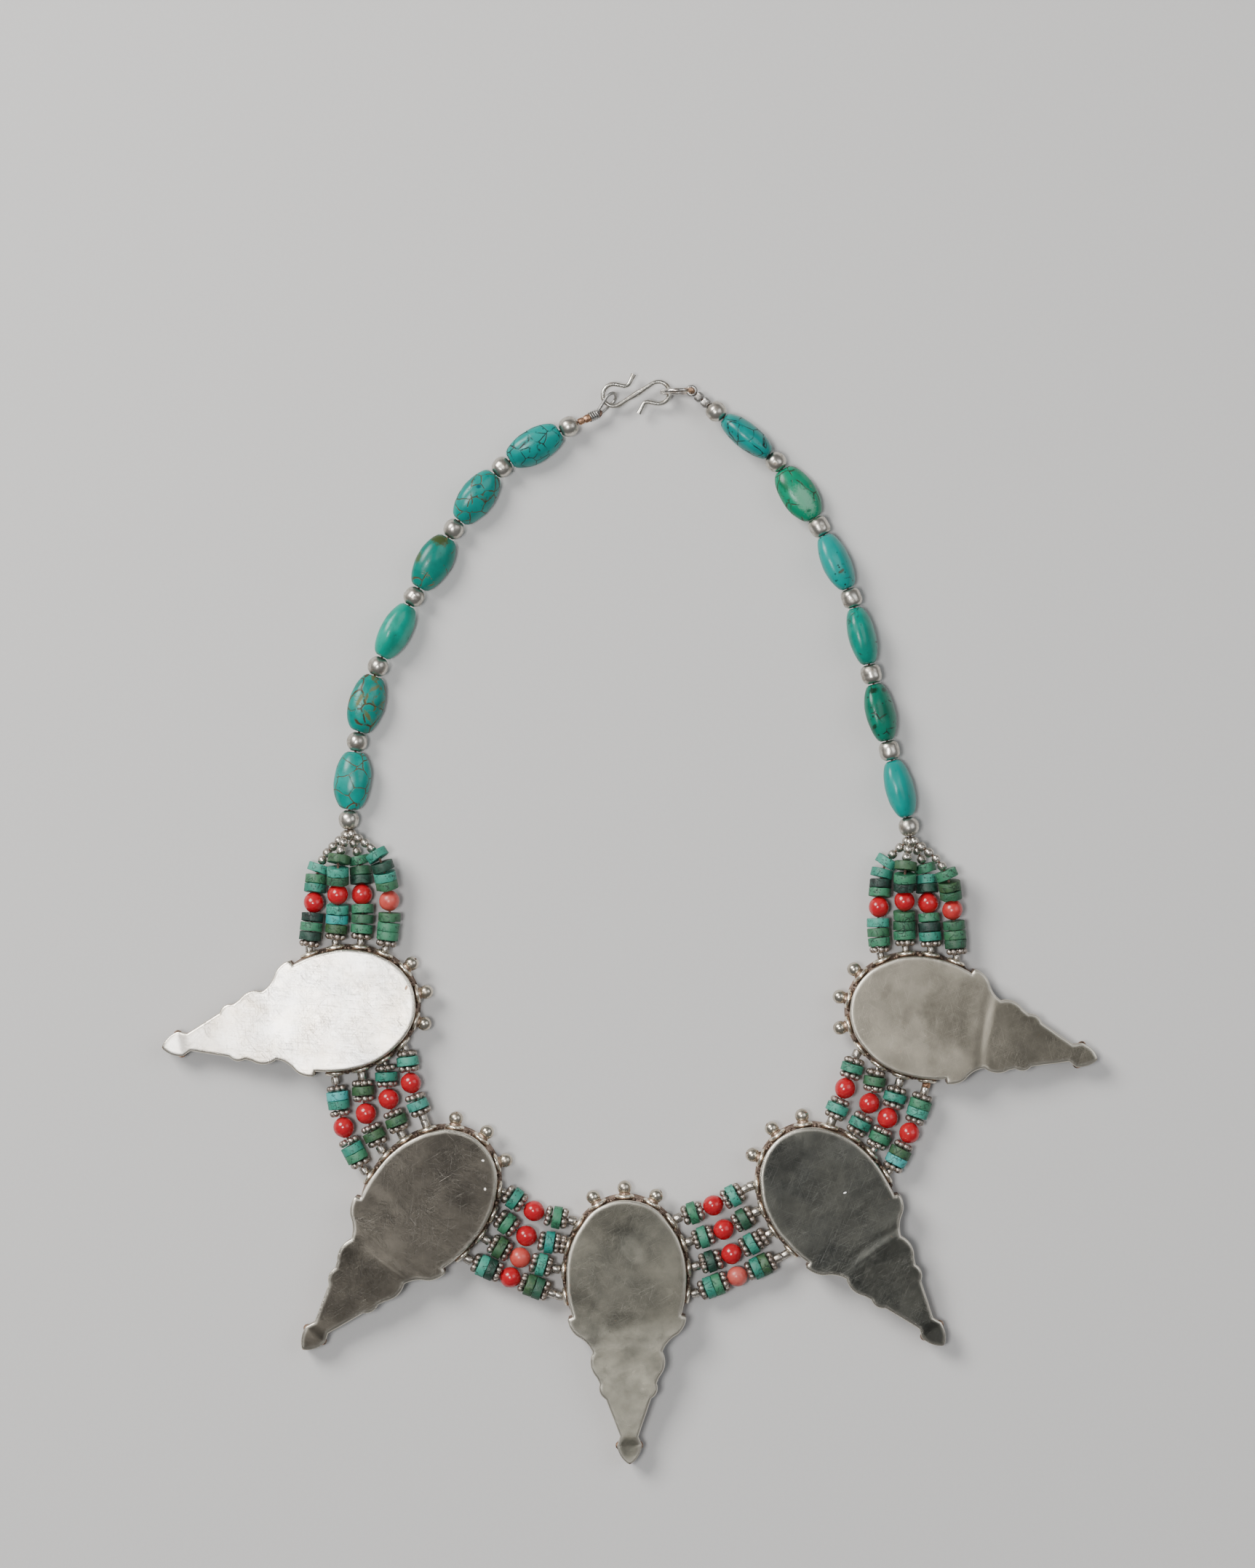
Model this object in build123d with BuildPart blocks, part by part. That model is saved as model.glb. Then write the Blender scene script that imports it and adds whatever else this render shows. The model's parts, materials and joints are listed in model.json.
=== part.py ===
from build123d import *
import os
from math import acos, asin, atan2, cos, degrees, radians, sin, sqrt, tan

os.makedirs("parts", exist_ok=True)

# Sizes in millimetres and angles in degrees. The necklace lies face down on the plane z = 0:
# x runs to the right and y away from the middle pendant towards the hook.

# Pendants
head_width = 29.6            # widest part of the round head
pendant_length = 65.9        # from the top of the head to the tip
head_depth = 8.3             # height of the head's case
tail_depth = 4.5             # height of the tail's case
tail_slope = 5.0             # how much the tail bends down beyond its crease
plate_thickness = 0.7
plate_rim = 0.45             # depth of the plate's edge above the flared wall
plate_overhang = 0.25        # how far the plate's edge stands out over the top of that wall
wall_thickness = 0.9
wall_flare = 1.2             # how far the head's wall spreads below the plate
inlay_depth = 2.4
inlay_rib = 1.5
fit_gap = 0.12

# Wire rings, head balls and tail balls
ring_width = 4.7
ring_wire = 0.95
ring_stand = 0.75            # ring centre beyond the plate's edge
ring_pitch = 23.4            # angle between rings, seen from the head's centre
ball_diameter = 3.4
ball_stand = 3.0             # ball centre beyond the plate's edge
ball_pin = 1.8
tail_ball_diameter = 2.2
hole_height = 4.4
strand_hole = 1.8

# Beads
barrel_length = 14.3
barrel_width = 9.4
barrel_thickness = 6.7
barrel_end_share = 0.56      # size of a barrel's flat end against its middle
silver_diameter = 5.1
silver_length = 4.7
disc_diameter = 5.5
disc_thickness = 2.05
coral_diameter = 5.1
daisy_diameter = 5.3
daisy_thickness = 1.4
daisy_lobes = 8
lobe_spread = 1.08           # how much wider a lobe is than one that only touches its neighbours
tube_length = 1.4            # room for the plain tube bead at each end of a strand
bead_bore = 1.5
bead_gap = 0.15              # between two beads on a strand
bend_share = 0.68            # of a disc's width that a bend pushes the next bead on by, per radian
string_gap = 0.3             # between the larger beads of the neck, whose ends meet at an angle
thread_diameter = 0.6
bend_fill = 0.45             # how much of a straight run each of its two bends may take

# Hook, loop and ring
hook_wire = 1.0
hook_eye_radius = 2.75
hook_eye_spacing = 11.2      # between the centres of the two eyes
hook_turn = 3.0
hook_height = 3.2
hook_eye_stop = 15.0         # how far the wire passes the level of its eye before it leaves it
hook_lead = 1.9
hook_flick_radius = 1.3
hook_flick = 75.0
hook_end = 2.7
loop_wire = 0.8
loop_wide_radius = 1.9
loop_narrow_radius = 1.0
loop_span = 3.6              # between the centres of the loop's two rounds
loop_heading = 50.0
loop_tilt = 60.0
loop_hold = 1.3              # from the wide round's centre back to the hook's wire
clasp_ring_wire = 1.2
clasp_ring_radius = 3.7
clasp_ring_hold = 1.8        # from the ring's centre to the hook's wire, along the ring
clasp_ring_drop = 1.2        # how far the hook's wire passes below the ring's centre
crimp_run = 5.5              # from the last silver bead to the loop or ring
thread_play = 0.15

# Side of the head and of the tail as the outline goes round it: shares of the pendant's length from
# the head's top and of half the head's width. A straight step has no point to pass through.
head_centre_share = 0.249
head_widest_share = 0.282
head_nose_share = 0.845      # radius at the head's top against half the head's width
outline_steps = [
    # end along, end across, through along, through across
    (0.436, 0.905, 0.366, 0.975),
    (0.444, 0.986, None, None),
    (0.508, 0.830, 0.475, 0.950),
    (0.572, 0.576, 0.536, 0.672),
    (0.665, 0.520, 0.612, 0.617),
    (0.692, 0.466, None, None),
    (0.750, 0.372, 0.722, 0.474),
    (0.893, 0.140, None, None),
    (0.926, 0.198, None, None),
    (1.000, 0.000, 0.958, 0.160),
]
crease_share = 0.546
shoulder_share = 0.470
spade_share = 0.930
spade_reach = 0.160

# Pendants from left to right: way the tail points, length against pendant_length, and the way and
# length, against the usual step, from this pendant to the next
pendant_rows = [
    # tail heading, length share, step heading, step share
    (191.9, 0.974, -65.7, 0.997),
    (229.7, 1.032, -20.8, 1.000),
    (271.1, 1.000, 21.4, 1.022),
    (308.4, 1.000, 62.2, 0.970),
    (346.4, 0.955, None, None),
]
middle_pendant = 2

# How far each linking strand bows away from the loop's middle, as a share of its own length,
# from the inner strand to the outer one
link_bows = [
    (0.05, 0.08, 0.10, 0.10),
    (0.09, 0.11, 0.07, 0.03),
    (0.03, 0.05, 0.06, 0.03),
    (0.01, 0.07, 0.04, 0.05),
]
strand_count = 4
outer_strand = strand_count - 1

# Chosen points of the fans' strands, inner strand first. Each strand has a first bend near the
# gathering bead and a second one past the coral: shares of the fan's length along it and aside of
# it (positive to the right), and whether the first bend lies low (0) or high (1).
fan_routes = {
    "left": [
        # along, aside, level, along, aside
        (0.125, 0.185, 1, 0.430, 0.237),
        (0.160, 0.064, 0, 0.483, 0.075),
        (0.140, -0.056, 1, 0.483, -0.070),
        (0.165, -0.176, 0, 0.508, -0.216),
    ],
    "right": [
        (0.140, -0.160, 0, 0.483, -0.192),
        (0.150, -0.036, 1, 0.483, -0.042),
        (0.160, 0.087, 0, 0.483, 0.102),
        (0.165, 0.205, 1, 0.466, 0.240),
    ],
}
fan_level_rise = 4.8
fan_discs = 3
fan_seeds = 3
seed_length = 2.2
extra_disc_strand = 0        # the inner strand has one disc more above its coral

# Strings of the neck from the gathering bead up to the clasp: way each barrel points and its seen
# width as a share of barrel_width, which says how far it has rolled on its thread
neck_rows = {
    "left": [
        # heading, seen share
        (84.7, 1.000),
        (75.0, 0.960),
        (62.6, 0.810),
        (60.4, 0.940),
        (53.5, 0.920),
        (30.8, 0.920),
    ],
    "right": [
        (106.5, 0.790),
        (104.1, 0.810),
        (105.1, 0.750),
        (115.3, 0.790),
        (124.3, 0.980),
        (142.2, 0.720),
    ],
}
fan_headings = {"left": 91.1, "right": 90.7}
crimp_headings = {"left": 23.5, "right": 140.0}


# Plain geometry

def heading(angle):
    return Vector(cos(radians(angle)), sin(radians(angle)))


def raised(point, height):
    return Vector(point.X, point.Y, height)


def head_edge(angle, length):
    # the plate's edge, and the way out of it, at an angle from the head's top about its centre
    across = head_width / 2
    upper = head_widest_share * length
    shift = (head_widest_share - head_centre_share) * length
    step_along = -cos(radians(angle))
    step_across = sin(radians(angle))
    first_along, first_across = outline_steps[0][0], outline_steps[0][1]
    lower = (first_along - head_widest_share) * length / sqrt(1 - first_across ** 2)
    reach = across
    for half in (upper, lower):
        a = (step_along / half) ** 2 + (step_across / across) ** 2
        b = -2 * step_along * shift / half ** 2
        c = (shift / half) ** 2 - 1
        reach = (-b + sqrt(b * b - 4 * a * c)) / (2 * a)
        if (step_along * reach < shift) == (half == upper):
            break
    along = step_along * reach
    aside = step_across * reach
    outward = Vector((along - shift) / half ** 2, aside / across ** 2).normalized()
    return Vector(along, aside), outward


def ring_number(strand, side):
    # rings are counted from the head's top, and the first strand comes after the ball's ring
    return side * (strand + 2)


class Pendant:
    def __init__(self, centre, tail_heading, length_share):
        self.centre = centre
        self.length = pendant_length * length_share
        self.tail_heading = tail_heading
        self.plane = Plane(origin=raised(centre, 0), x_dir=heading(tail_heading), z_dir=(0, 0, 1))

    def tip(self):
        return self.centre + heading(self.tail_heading) * (1 - head_centre_share) * self.length

    def hole(self, number):
        # middle of a strand's ring and the level way out of it
        edge, outward = head_edge(number * ring_pitch, self.length)
        middle = edge + outward * ring_stand
        place = self.plane.from_local_coords(raised(middle, hole_height))
        way = heading(self.tail_heading) * outward.X + heading(self.tail_heading + 90) * outward.Y
        return place, way


def roll_angle(seen_share):
    # roll that shows a share of the barrel's width from above
    seen = seen_share * barrel_width
    flat = barrel_thickness
    return degrees(acos(sqrt((seen ** 2 - flat ** 2) / (barrel_width ** 2 - flat ** 2))))


def barrel_height(roll):
    # height of the thread through a barrel that lies on the floor at this roll
    wide = barrel_width * sin(radians(roll))
    flat = barrel_thickness * cos(radians(roll))
    return sqrt(wide ** 2 + flat ** 2) / 2


def neck_string(start, side, turn):
    # corners of a side's thread, between one bead and the next, from the gathering bead upwards
    rows = neck_rows[side]
    ways = [row[0] + turn for row in rows]
    first = fan_headings[side] + turn
    last = crimp_headings[side] + turn
    rolls = [roll_angle(row[1]) for row in rows]
    levels = [barrel_height(roll) for roll in rolls]
    corners = [raised(start, levels[0])]
    for number in range(len(rows) + 1):
        before = ways[number - 1] if number else first
        after = ways[number] if number < len(rows) else last
        rise_to = levels[min(number, len(rows) - 1)]
        rise = rise_to - corners[-1].Z
        flat_run = sqrt((silver_length + string_gap) ** 2 - rise ** 2)
        step = raised(heading((before + after) / 2) * flat_run, rise)
        corners.append(corners[-1] + step)
        if number < len(rows):
            corners.append(corners[-1] + heading(ways[number]) * (barrel_length + string_gap))
    end_height = hook_height if side == "left" else hook_height + clasp_ring_drop
    corners.append(raised(corners[-1] + heading(last) * crimp_run, end_height))
    return corners, rolls


def flat(point):
    return Vector(point.X, point.Y)


# Clasp, about the middle of the hook: where the hook's wire passes through the loop and the ring
left_eye = heading(hook_turn) * (-hook_eye_spacing / 2)
right_eye = heading(hook_turn) * (hook_eye_spacing / 2)
loop_way = heading(loop_heading)
loop_cross = left_eye - loop_way * hook_eye_radius
loop_middle = loop_cross + loop_way * loop_hold
loop_base = loop_middle - loop_way * (loop_span + loop_narrow_radius)
ring_cross = right_eye + heading(hook_turn) * hook_eye_radius
clasp_ring_middle = ring_cross + heading(hook_turn) * clasp_ring_hold
clasp_ring_end = clasp_ring_middle + heading(hook_turn) * clasp_ring_radius

# Layout, from the middle pendant outwards and up both sides to the clasp
strand_run = coral_diameter + 2 * disc_thickness + 4 * daisy_thickness + 2 * tube_length + 8 * bead_gap
pendant_step = head_width + 2 * ring_stand + ring_wire + strand_run
fan_run = fan_seeds * seed_length + 2 * fan_discs * disc_thickness + coral_diameter
fan_run = fan_run + daisy_thickness + tube_length + 10 * bead_gap
fan_reach = head_width / 2 + ring_stand + ring_wire / 2 + fan_run


def lay_out(middle):
    centres = {middle_pendant: middle}
    for number in range(middle_pendant, len(pendant_rows) - 1):
        row = pendant_rows[number]
        centres[number + 1] = centres[number] + heading(row[2]) * pendant_step * row[3]
    for number in range(middle_pendant - 1, -1, -1):
        row = pendant_rows[number]
        centres[number] = centres[number + 1] - heading(row[2]) * pendant_step * row[3]
    pendants = [
        Pendant(centres[number], row[0], row[1]) for number, row in enumerate(pendant_rows)
    ]
    starts = {
        "left": pendants[0].centre + heading(fan_headings["left"]) * fan_reach,
        "right": pendants[-1].centre + heading(fan_headings["right"]) * fan_reach,
    }
    # each side turns about its gathering bead until the two ends meet the clasp
    spans = {side: flat(neck_string(start, side, 0)[0][-1]) - start for side, start in starts.items()}
    goal = starts["right"] - (clasp_ring_end - loop_base)
    between = goal - starts["left"]
    left_span, right_span = spans["left"].length, spans["right"].length
    share = (left_span ** 2 - right_span ** 2 + between.length ** 2) / (2 * between.length)
    lift = degrees(acos(share / left_span))
    meeting_way = degrees(atan2(between.Y, between.X)) + lift
    meeting = starts["left"] + heading(meeting_way) * left_span
    reach_right = meeting - goal
    turns = {
        "left": meeting_way - degrees(atan2(spans["left"].Y, spans["left"].X)),
        "right": degrees(atan2(reach_right.Y, reach_right.X))
        - degrees(atan2(spans["right"].Y, spans["right"].X)),
    }
    strings = {side: neck_string(starts[side], side, turns[side]) for side in starts}
    hook_middle = meeting - loop_base
    return pendants, strings, hook_middle


# Hook's wire, one half of it and then the other half turned about the middle
with BuildLine() as hook_half:
    slant = degrees(asin(2 * hook_eye_radius / hook_eye_spacing))
    half_run = sqrt(hook_eye_spacing ** 2 / 4 - hook_eye_radius ** 2)
    out = heading(180 + slant)
    shank = Line((0, 0), out * half_run)
    eye = JernArc(shank @ 1, out, hook_eye_radius, -(180 + slant + hook_eye_stop))
    lead = Line(eye @ 1, (eye @ 1) + (eye % 1) * hook_lead)
    flick = JernArc(lead @ 1, lead % 1, hook_flick_radius, hook_flick)
    Line(flick @ 1, (flick @ 1) + (flick % 1) * hook_end)
with BuildLine() as hook_line:
    add(hook_half.line.rotate(Axis.Z, hook_turn))
    add(hook_half.line.rotate(Axis.Z, hook_turn + 180))

first_pendants, first_strings, first_hook = lay_out(Vector(0, 0))
left_edge = first_pendants[0].tip().X
right_edge = first_pendants[-1].tip().X
low_edge = first_pendants[middle_pendant].tip().Y
top_edge = first_hook.Y + hook_line.line.bounding_box().max.Y + hook_wire / 4
pendants, strings, hook_middle = lay_out(
    Vector(-(left_edge + right_edge) / 2, -(low_edge + top_edge) / 2)
)


# Pendant's outline, side and case

def plan_outline(length):
    across = head_width / 2
    start = -head_centre_share * length
    widest = (head_widest_share - head_centre_share) * length
    # an oval's end of two arcs: a side arc from the widest part and a nose arc at the top
    nose = head_nose_share * across
    reach = head_widest_share * length
    side = (across ** 2 + reach ** 2 - 2 * reach * nose) / (2 * (across - nose))
    lean = degrees(atan2(side - across, reach - nose))
    with BuildSketch() as outline:
        with BuildLine():
            CenterArc((start + nose, 0), nose, 180 - lean, lean)
            CenterArc((widest, across - side), side, 90, 90 - lean)
            here = (widest, across)
            for along, aside, through_along, through_aside in outline_steps:
                there = (start + along * length, aside * across)
                if through_along is None:
                    Line(here, there)
                else:
                    through = (start + through_along * length, through_aside * across)
                    ThreePointArc(here, through, there)
                here = there
            mirror(about=Plane.XZ)
        make_face()
    return outline.sketch


def drop_at(along, length):
    # how far the tail has bent down at a distance along the pendant from the head's centre
    crease = (crease_share - head_centre_share) * length
    return max(0, along - crease) * tan(radians(tail_slope))


def side_profile(points):
    with BuildSketch(Plane.XZ) as profile:
        with BuildLine():
            Polyline(*points, close=True)
        make_face()
    return profile.sketch


def stations(length):
    back = -head_centre_share * length - wall_flare - fit_gap
    crease = (crease_share - head_centre_share) * length
    shoulder = (shoulder_share - head_centre_share) * length
    tip = (1 - head_centre_share) * length + fit_gap
    return back, crease, shoulder, tip


def case_profile(length):
    back, crease, shoulder, tip = stations(length)
    under = head_depth - tail_depth
    return side_profile([
        (back, 0),
        (back, head_depth),
        (crease, head_depth),
        (tip, head_depth - drop_at(tip, length)),
        (tip, under - drop_at(tip, length)),
        (crease, under),
        (shoulder, under),
        (shoulder, 0),
    ])


def hollow_profile(length):
    back, crease, shoulder, tip = stations(length)
    ceiling = head_depth - plate_thickness
    under = head_depth - tail_depth
    below = -head_depth
    return side_profile([
        (back, below),
        (back, ceiling),
        (crease, ceiling),
        (tip, ceiling - drop_at(tip, length)),
        (tip, below),
        (shoulder, below),
        (shoulder, under),
        (shoulder - wall_thickness, under),
        (shoulder - wall_thickness, below),
    ])


def inlay_profile(length):
    back, crease, shoulder, tip = stations(length)
    under = head_depth - tail_depth + fit_gap
    inner = shoulder - wall_thickness - fit_gap
    tail_top = under + inlay_rib
    return side_profile([
        (back, 0),
        (back, inlay_depth),
        (inner - inlay_rib, inlay_depth),
        (inner - inlay_rib, tail_top),
        (crease, tail_top),
        (tip, tail_top - drop_at(tip, length)),
        (tip, under - drop_at(tip, length)),
        (crease, under),
        (inner, under),
        (inner, 0),
    ])


def ring_planes(length, numbers, stand):
    planes = []
    for number in numbers:
        edge, outward = head_edge(number * ring_pitch, length)
        planes.append(Plane(origin=raised(edge + outward * stand, hole_height), z_dir=outward))
    return planes


ball_numbers = (-1, 0, 1)
strand_numbers = [ring_number(strand, side) for side in (-1, 1) for strand in range(strand_count)]
profile_reach = head_width


def make_hollow(length):
    outline = plan_outline(length)
    profile = hollow_profile(length)
    with BuildPart() as hollow:
        with BuildSketch(Plane.XY.offset(-head_depth)):
            add(outline)
            offset(amount=-wall_thickness, kind=Kind.ARC)
        extrude(amount=2 * head_depth)
        extrude(profile, amount=profile_reach, both=True, mode=Mode.INTERSECT)
    return hollow.part


def make_case(length):
    outline = plan_outline(length)
    profile = case_profile(length)
    hollow = make_hollow(length)
    across = head_width / 2
    along = head_widest_share * length
    widest = (head_widest_share - head_centre_share) * length
    spade_along = (spade_share - head_centre_share) * length
    spade_height = head_depth - drop_at(spade_along, length) - plate_thickness - tail_ball_diameter / 2
    rings = ring_planes(length, (*ball_numbers, *strand_numbers), ring_stand)
    drill_length = 2 * (wall_flare + wall_thickness + ring_stand)
    with BuildPart() as case:
        with BuildSketch():
            add(outline)
        extrude(amount=head_depth)
        with BuildSketch():
            with Locations((widest, 0)):
                Ellipse(along + wall_flare, across + wall_flare)
        with BuildSketch(Plane.XY.offset(head_depth - plate_rim)):
            with Locations((widest, 0)):
                Ellipse(along - plate_overhang, across - plate_overhang)
        loft()
        extrude(profile, amount=profile_reach, both=True, mode=Mode.INTERSECT)
        add(hollow, mode=Mode.SUBTRACT)
        with Locations(*rings):
            Torus((ring_width - ring_wire) / 2, ring_wire / 2)
        with Locations(*ring_planes(length, ball_numbers, 0)):
            Cylinder(ball_pin / 2, ball_stand, align=(Align.CENTER, Align.CENTER, Align.MIN))
        with Locations(*ring_planes(length, ball_numbers, ball_stand)):
            Sphere(ball_diameter / 2)
        with Locations(*ring_planes(length, strand_numbers, ring_stand)):
            Cylinder(strand_hole / 2, drill_length, mode=Mode.SUBTRACT)
        with Locations(*[(spade_along, side * spade_reach * across, spade_height) for side in (-1, 1)]):
            Sphere(tail_ball_diameter / 2)
    return case.part


def make_inlay(length):
    outline = plan_outline(length)
    profile = inlay_profile(length)
    with BuildPart() as inlay:
        with BuildSketch():
            add(outline)
            offset(amount=-(wall_thickness + fit_gap), kind=Kind.ARC)
        extrude(amount=head_depth)
        extrude(profile, amount=profile_reach, both=True, mode=Mode.INTERSECT)
    return inlay.part


for number, pendant in enumerate(pendants, start=1):
    case = make_case(pendant.length)
    inlay = make_inlay(pendant.length)
    with BuildPart() as pendant_case:
        with Locations(pendant.plane):
            add(case)
    pendant_case.part.label = f"pendant_case_{number}"
    export_step(pendant_case.part, f"parts/pendant_case_{number}.step")
    with BuildPart() as pendant_inlay:
        with Locations(pendant.plane):
            add(inlay)
    pendant_inlay.part.label = f"pendant_inlay_{number}"
    export_step(pendant_inlay.part, f"parts/pendant_inlay_{number}.step")


# Beads, each about its own bore along z

barrel_sections = [
    # share of the half length, share of the full section
    (-1.0, barrel_end_share),
    (-0.6, 0.86),
    (0.0, 1.0),
    (0.6, 0.86),
    (1.0, barrel_end_share),
]
with BuildPart() as barrel_bead:
    for along, share in barrel_sections:
        with BuildSketch(Plane.XY.offset(along * barrel_length / 2)):
            Ellipse(share * barrel_thickness / 2, share * barrel_width / 2)
    loft()
    Cylinder(bead_bore / 2, barrel_length, mode=Mode.SUBTRACT)

with BuildPart() as silver_bead:
    Sphere(silver_diameter / 2)
    Cylinder(silver_diameter, silver_length, mode=Mode.INTERSECT)
    Cylinder(bead_bore / 2, silver_length, mode=Mode.SUBTRACT)

with BuildPart() as disc_bead:
    Cylinder(disc_diameter / 2, disc_thickness)
    Cylinder(bead_bore / 2, disc_thickness, mode=Mode.SUBTRACT)

with BuildPart() as coral_bead:
    Sphere(coral_diameter / 2)
    Cylinder(bead_bore / 2, coral_diameter, mode=Mode.SUBTRACT)

lobe_radius = daisy_diameter / 2 * sin(radians(180 / daisy_lobes)) / (1 + sin(radians(180 / daisy_lobes)))
with BuildPart() as daisy_bead:
    with BuildSketch(Plane.XY.offset(-daisy_thickness / 2)):
        Circle(daisy_diameter / 2 - lobe_radius)
        with PolarLocations(daisy_diameter / 2 - lobe_radius, daisy_lobes):
            Circle(lobe_radius * lobe_spread)
        Circle(bead_bore / 2, mode=Mode.SUBTRACT)
    extrude(amount=daisy_thickness)

coral_length = sqrt(coral_diameter ** 2 - bead_bore ** 2)
bead_lengths = {"disc": disc_thickness, "coral": coral_length, "daisy": daisy_thickness}


def bead_plane(low, high, roll):
    # plane across a bead's bore, with its y axis level before the roll
    way = (high - low).normalized()
    level = Vector(0, 0, 1).cross(way).normalized()
    across = level.cross(way) * -1
    side = level * cos(radians(roll)) + across * sin(radians(roll))
    return Plane(origin=(low + high) / 2, x_dir=side.cross(way), z_dir=way)


for side, (corners, rolls) in strings.items():
    beads = list(zip(corners[:-2], corners[1:-1]))
    for place, (low, high) in enumerate(beads):
        from_clasp = (len(beads) - place + 1) // 2
        if place % 2:
            with BuildPart() as turquoise:
                with Locations(bead_plane(low, high, rolls[place // 2])):
                    add(barrel_bead.part)
            turquoise.part.label = f"turquoise_{side}_{from_clasp}"
            export_step(turquoise.part, f"parts/turquoise_{side}_{from_clasp}.step")
        else:
            with BuildPart() as silver:
                with Locations(bead_plane(low, high, 0)):
                    add(silver_bead.part)
            silver.part.label = f"silver_{side}_{from_clasp}"
            export_step(silver.part, f"parts/silver_{side}_{from_clasp}.step")


# Hook, loop and ring

with BuildPart() as s_hook:
    hook_path = hook_line.wire().moved(Location(raised(hook_middle, hook_height)))
    with BuildSketch(Plane(origin=hook_path @ 0, z_dir=hook_path % 0)):
        Circle(hook_wire / 2)
    sweep(path=hook_path)
s_hook.part.label = "s_hook"
export_step(s_hook.part, "parts/s_hook.step")

loop_side = heading(loop_heading + 90) * cos(radians(loop_tilt)) + Vector(0, 0, sin(radians(loop_tilt)))
loop_plane = Plane(
    origin=raised(hook_middle + loop_middle, hook_height), x_dir=loop_way, z_dir=loop_way.cross(loop_side)
)
with BuildPart() as clasp_loop:
    lean = degrees(asin((loop_wide_radius - loop_narrow_radius) / loop_span))
    with BuildLine(loop_plane) as loop_line:
        wide_round = CenterArc((0, 0), loop_wide_radius, -(90 + lean), 180 + 2 * lean)
        narrow_round = CenterArc((-loop_span, 0), loop_narrow_radius, 90 + lean, 180 - 2 * lean)
        Line(wide_round @ 1, narrow_round @ 0)
        Line(narrow_round @ 1, wide_round @ 0)
    loop_path = loop_line.wire()
    with BuildSketch(Plane(origin=loop_path @ 0, z_dir=loop_path % 0)):
        Circle(loop_wire / 2)
    sweep(path=loop_path)
clasp_loop.part.label = "clasp_loop"
export_step(clasp_loop.part, "parts/clasp_loop.step")

clasp_ring_plane = Plane(
    origin=raised(hook_middle + clasp_ring_middle, hook_height + clasp_ring_drop),
    z_dir=heading(hook_turn + 90),
)
with BuildPart(clasp_ring_plane) as clasp_ring:
    Torus(clasp_ring_radius, clasp_ring_wire / 2)
clasp_ring.part.label = "clasp_ring"
export_step(clasp_ring.part, "parts/clasp_ring.step")


# Strands and their beads

def bend_radii(points):
    # the largest arc that both runs at a corner leave room for
    radii = []
    for before, corner, after in zip(points, points[1:], points[2:]):
        first, second = corner - before, after - corner
        shorter = min(first.length, second.length)
        radii.append(bend_fill * shorter / tan(radians(first.get_angle(second) / 2)))
    return radii


def route_wire(points):
    with BuildLine() as route:
        FilletPolyline(*points, radius=bend_radii(points))
    return route.wire()


def thread_tube(route):
    with BuildPart() as tube:
        with BuildSketch(Plane(origin=route @ 0, z_dir=route % 0)):
            Circle(thread_diameter / 2)
        sweep(path=route)
    return tube.part


def string_on(route, start, kinds):
    # planes of the beads of each kind, one after another along the route. Where the route bends,
    # two flat faces open on its outer side and stay a gap apart on its inner side.
    planes = {kind: [] for kind in bead_lengths}
    here = start
    last_way = None
    for kind in kinds:
        middle = here + bead_lengths[kind] / 2
        way = route.tangent_at(middle, position_mode=PositionMode.LENGTH)
        if last_way is not None:
            middle = middle + disc_diameter * bend_share * radians(way.get_angle(last_way))
            way = route.tangent_at(middle, position_mode=PositionMode.LENGTH)
        spot = route.position_at(middle, position_mode=PositionMode.LENGTH)
        planes[kind].append(bead_plane(spot - way, spot + way, 0))
        here = middle + bead_lengths[kind] / 2 + bead_gap
        last_way = way
    return planes, here


def centred_on(route, kinds):
    # beads that leave the same room at both ends of their strand
    end = string_on(route, 0, kinds)[1]
    return string_on(route, (route.length - end) / 2, kinds)[0]


hole_inset = wall_thickness + ring_stand + wall_flare
hole_lead = ring_wire
first_bead = hole_inset + ring_wire / 2 + bead_gap


def write_strings(group, strung):
    masters = {"disc": disc_bead, "coral": coral_bead, "daisy": daisy_bead}
    names = {"disc": "discs", "coral": "corals", "daisy": "daisies"}
    for kind, master in masters.items():
        planes = [plane for strand in strung for plane in strand[kind]]
        with BuildPart() as beads:
            with Locations(*planes):
                add(master.part)
        beads.part.label = f"{group}_{names[kind]}"
        export_step(beads.part, f"parts/{group}_{names[kind]}.step")


link_threads = []
for gap, bows in enumerate(link_bows):
    left, right = pendants[gap], pendants[gap + 1]
    strung = []
    for strand, bow in enumerate(bows):
        left_ring, left_way = left.hole(ring_number(strand, 1))
        right_ring, right_way = right.hole(ring_number(strand, -1))
        across = right_ring - left_ring
        outward = Vector(across.Y, -across.X)
        points = [
            left_ring - left_way * hole_inset,
            left_ring + left_way * hole_lead,
            (left_ring + right_ring) / 2 + outward * bow,
            right_ring + right_way * hole_lead,
            right_ring - right_way * hole_inset,
        ]
        route = route_wire(points)
        discs = ["disc"] * (2 if strand == outer_strand else 1)
        half = ["daisy", *discs, "daisy"]
        kinds = [*half, "coral", *half]
        strung.append(centred_on(route, kinds))
        room = (route.length - string_on(route, 0, kinds)[1]) / 2 - first_bead
        print("link", gap + 1, "strand", strand + 1, "room at each end", round(room, 2))
        link_threads.append(thread_tube(route))
    write_strings(f"link_{gap + 1}", strung)


def gathering_point(corners):
    # where the strands of a fan meet, just outside the lowest silver bead
    exit_way = (corners[0] - corners[1]).normalized()
    return corners[0] + exit_way * (bead_gap + thread_diameter / 2)


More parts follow.
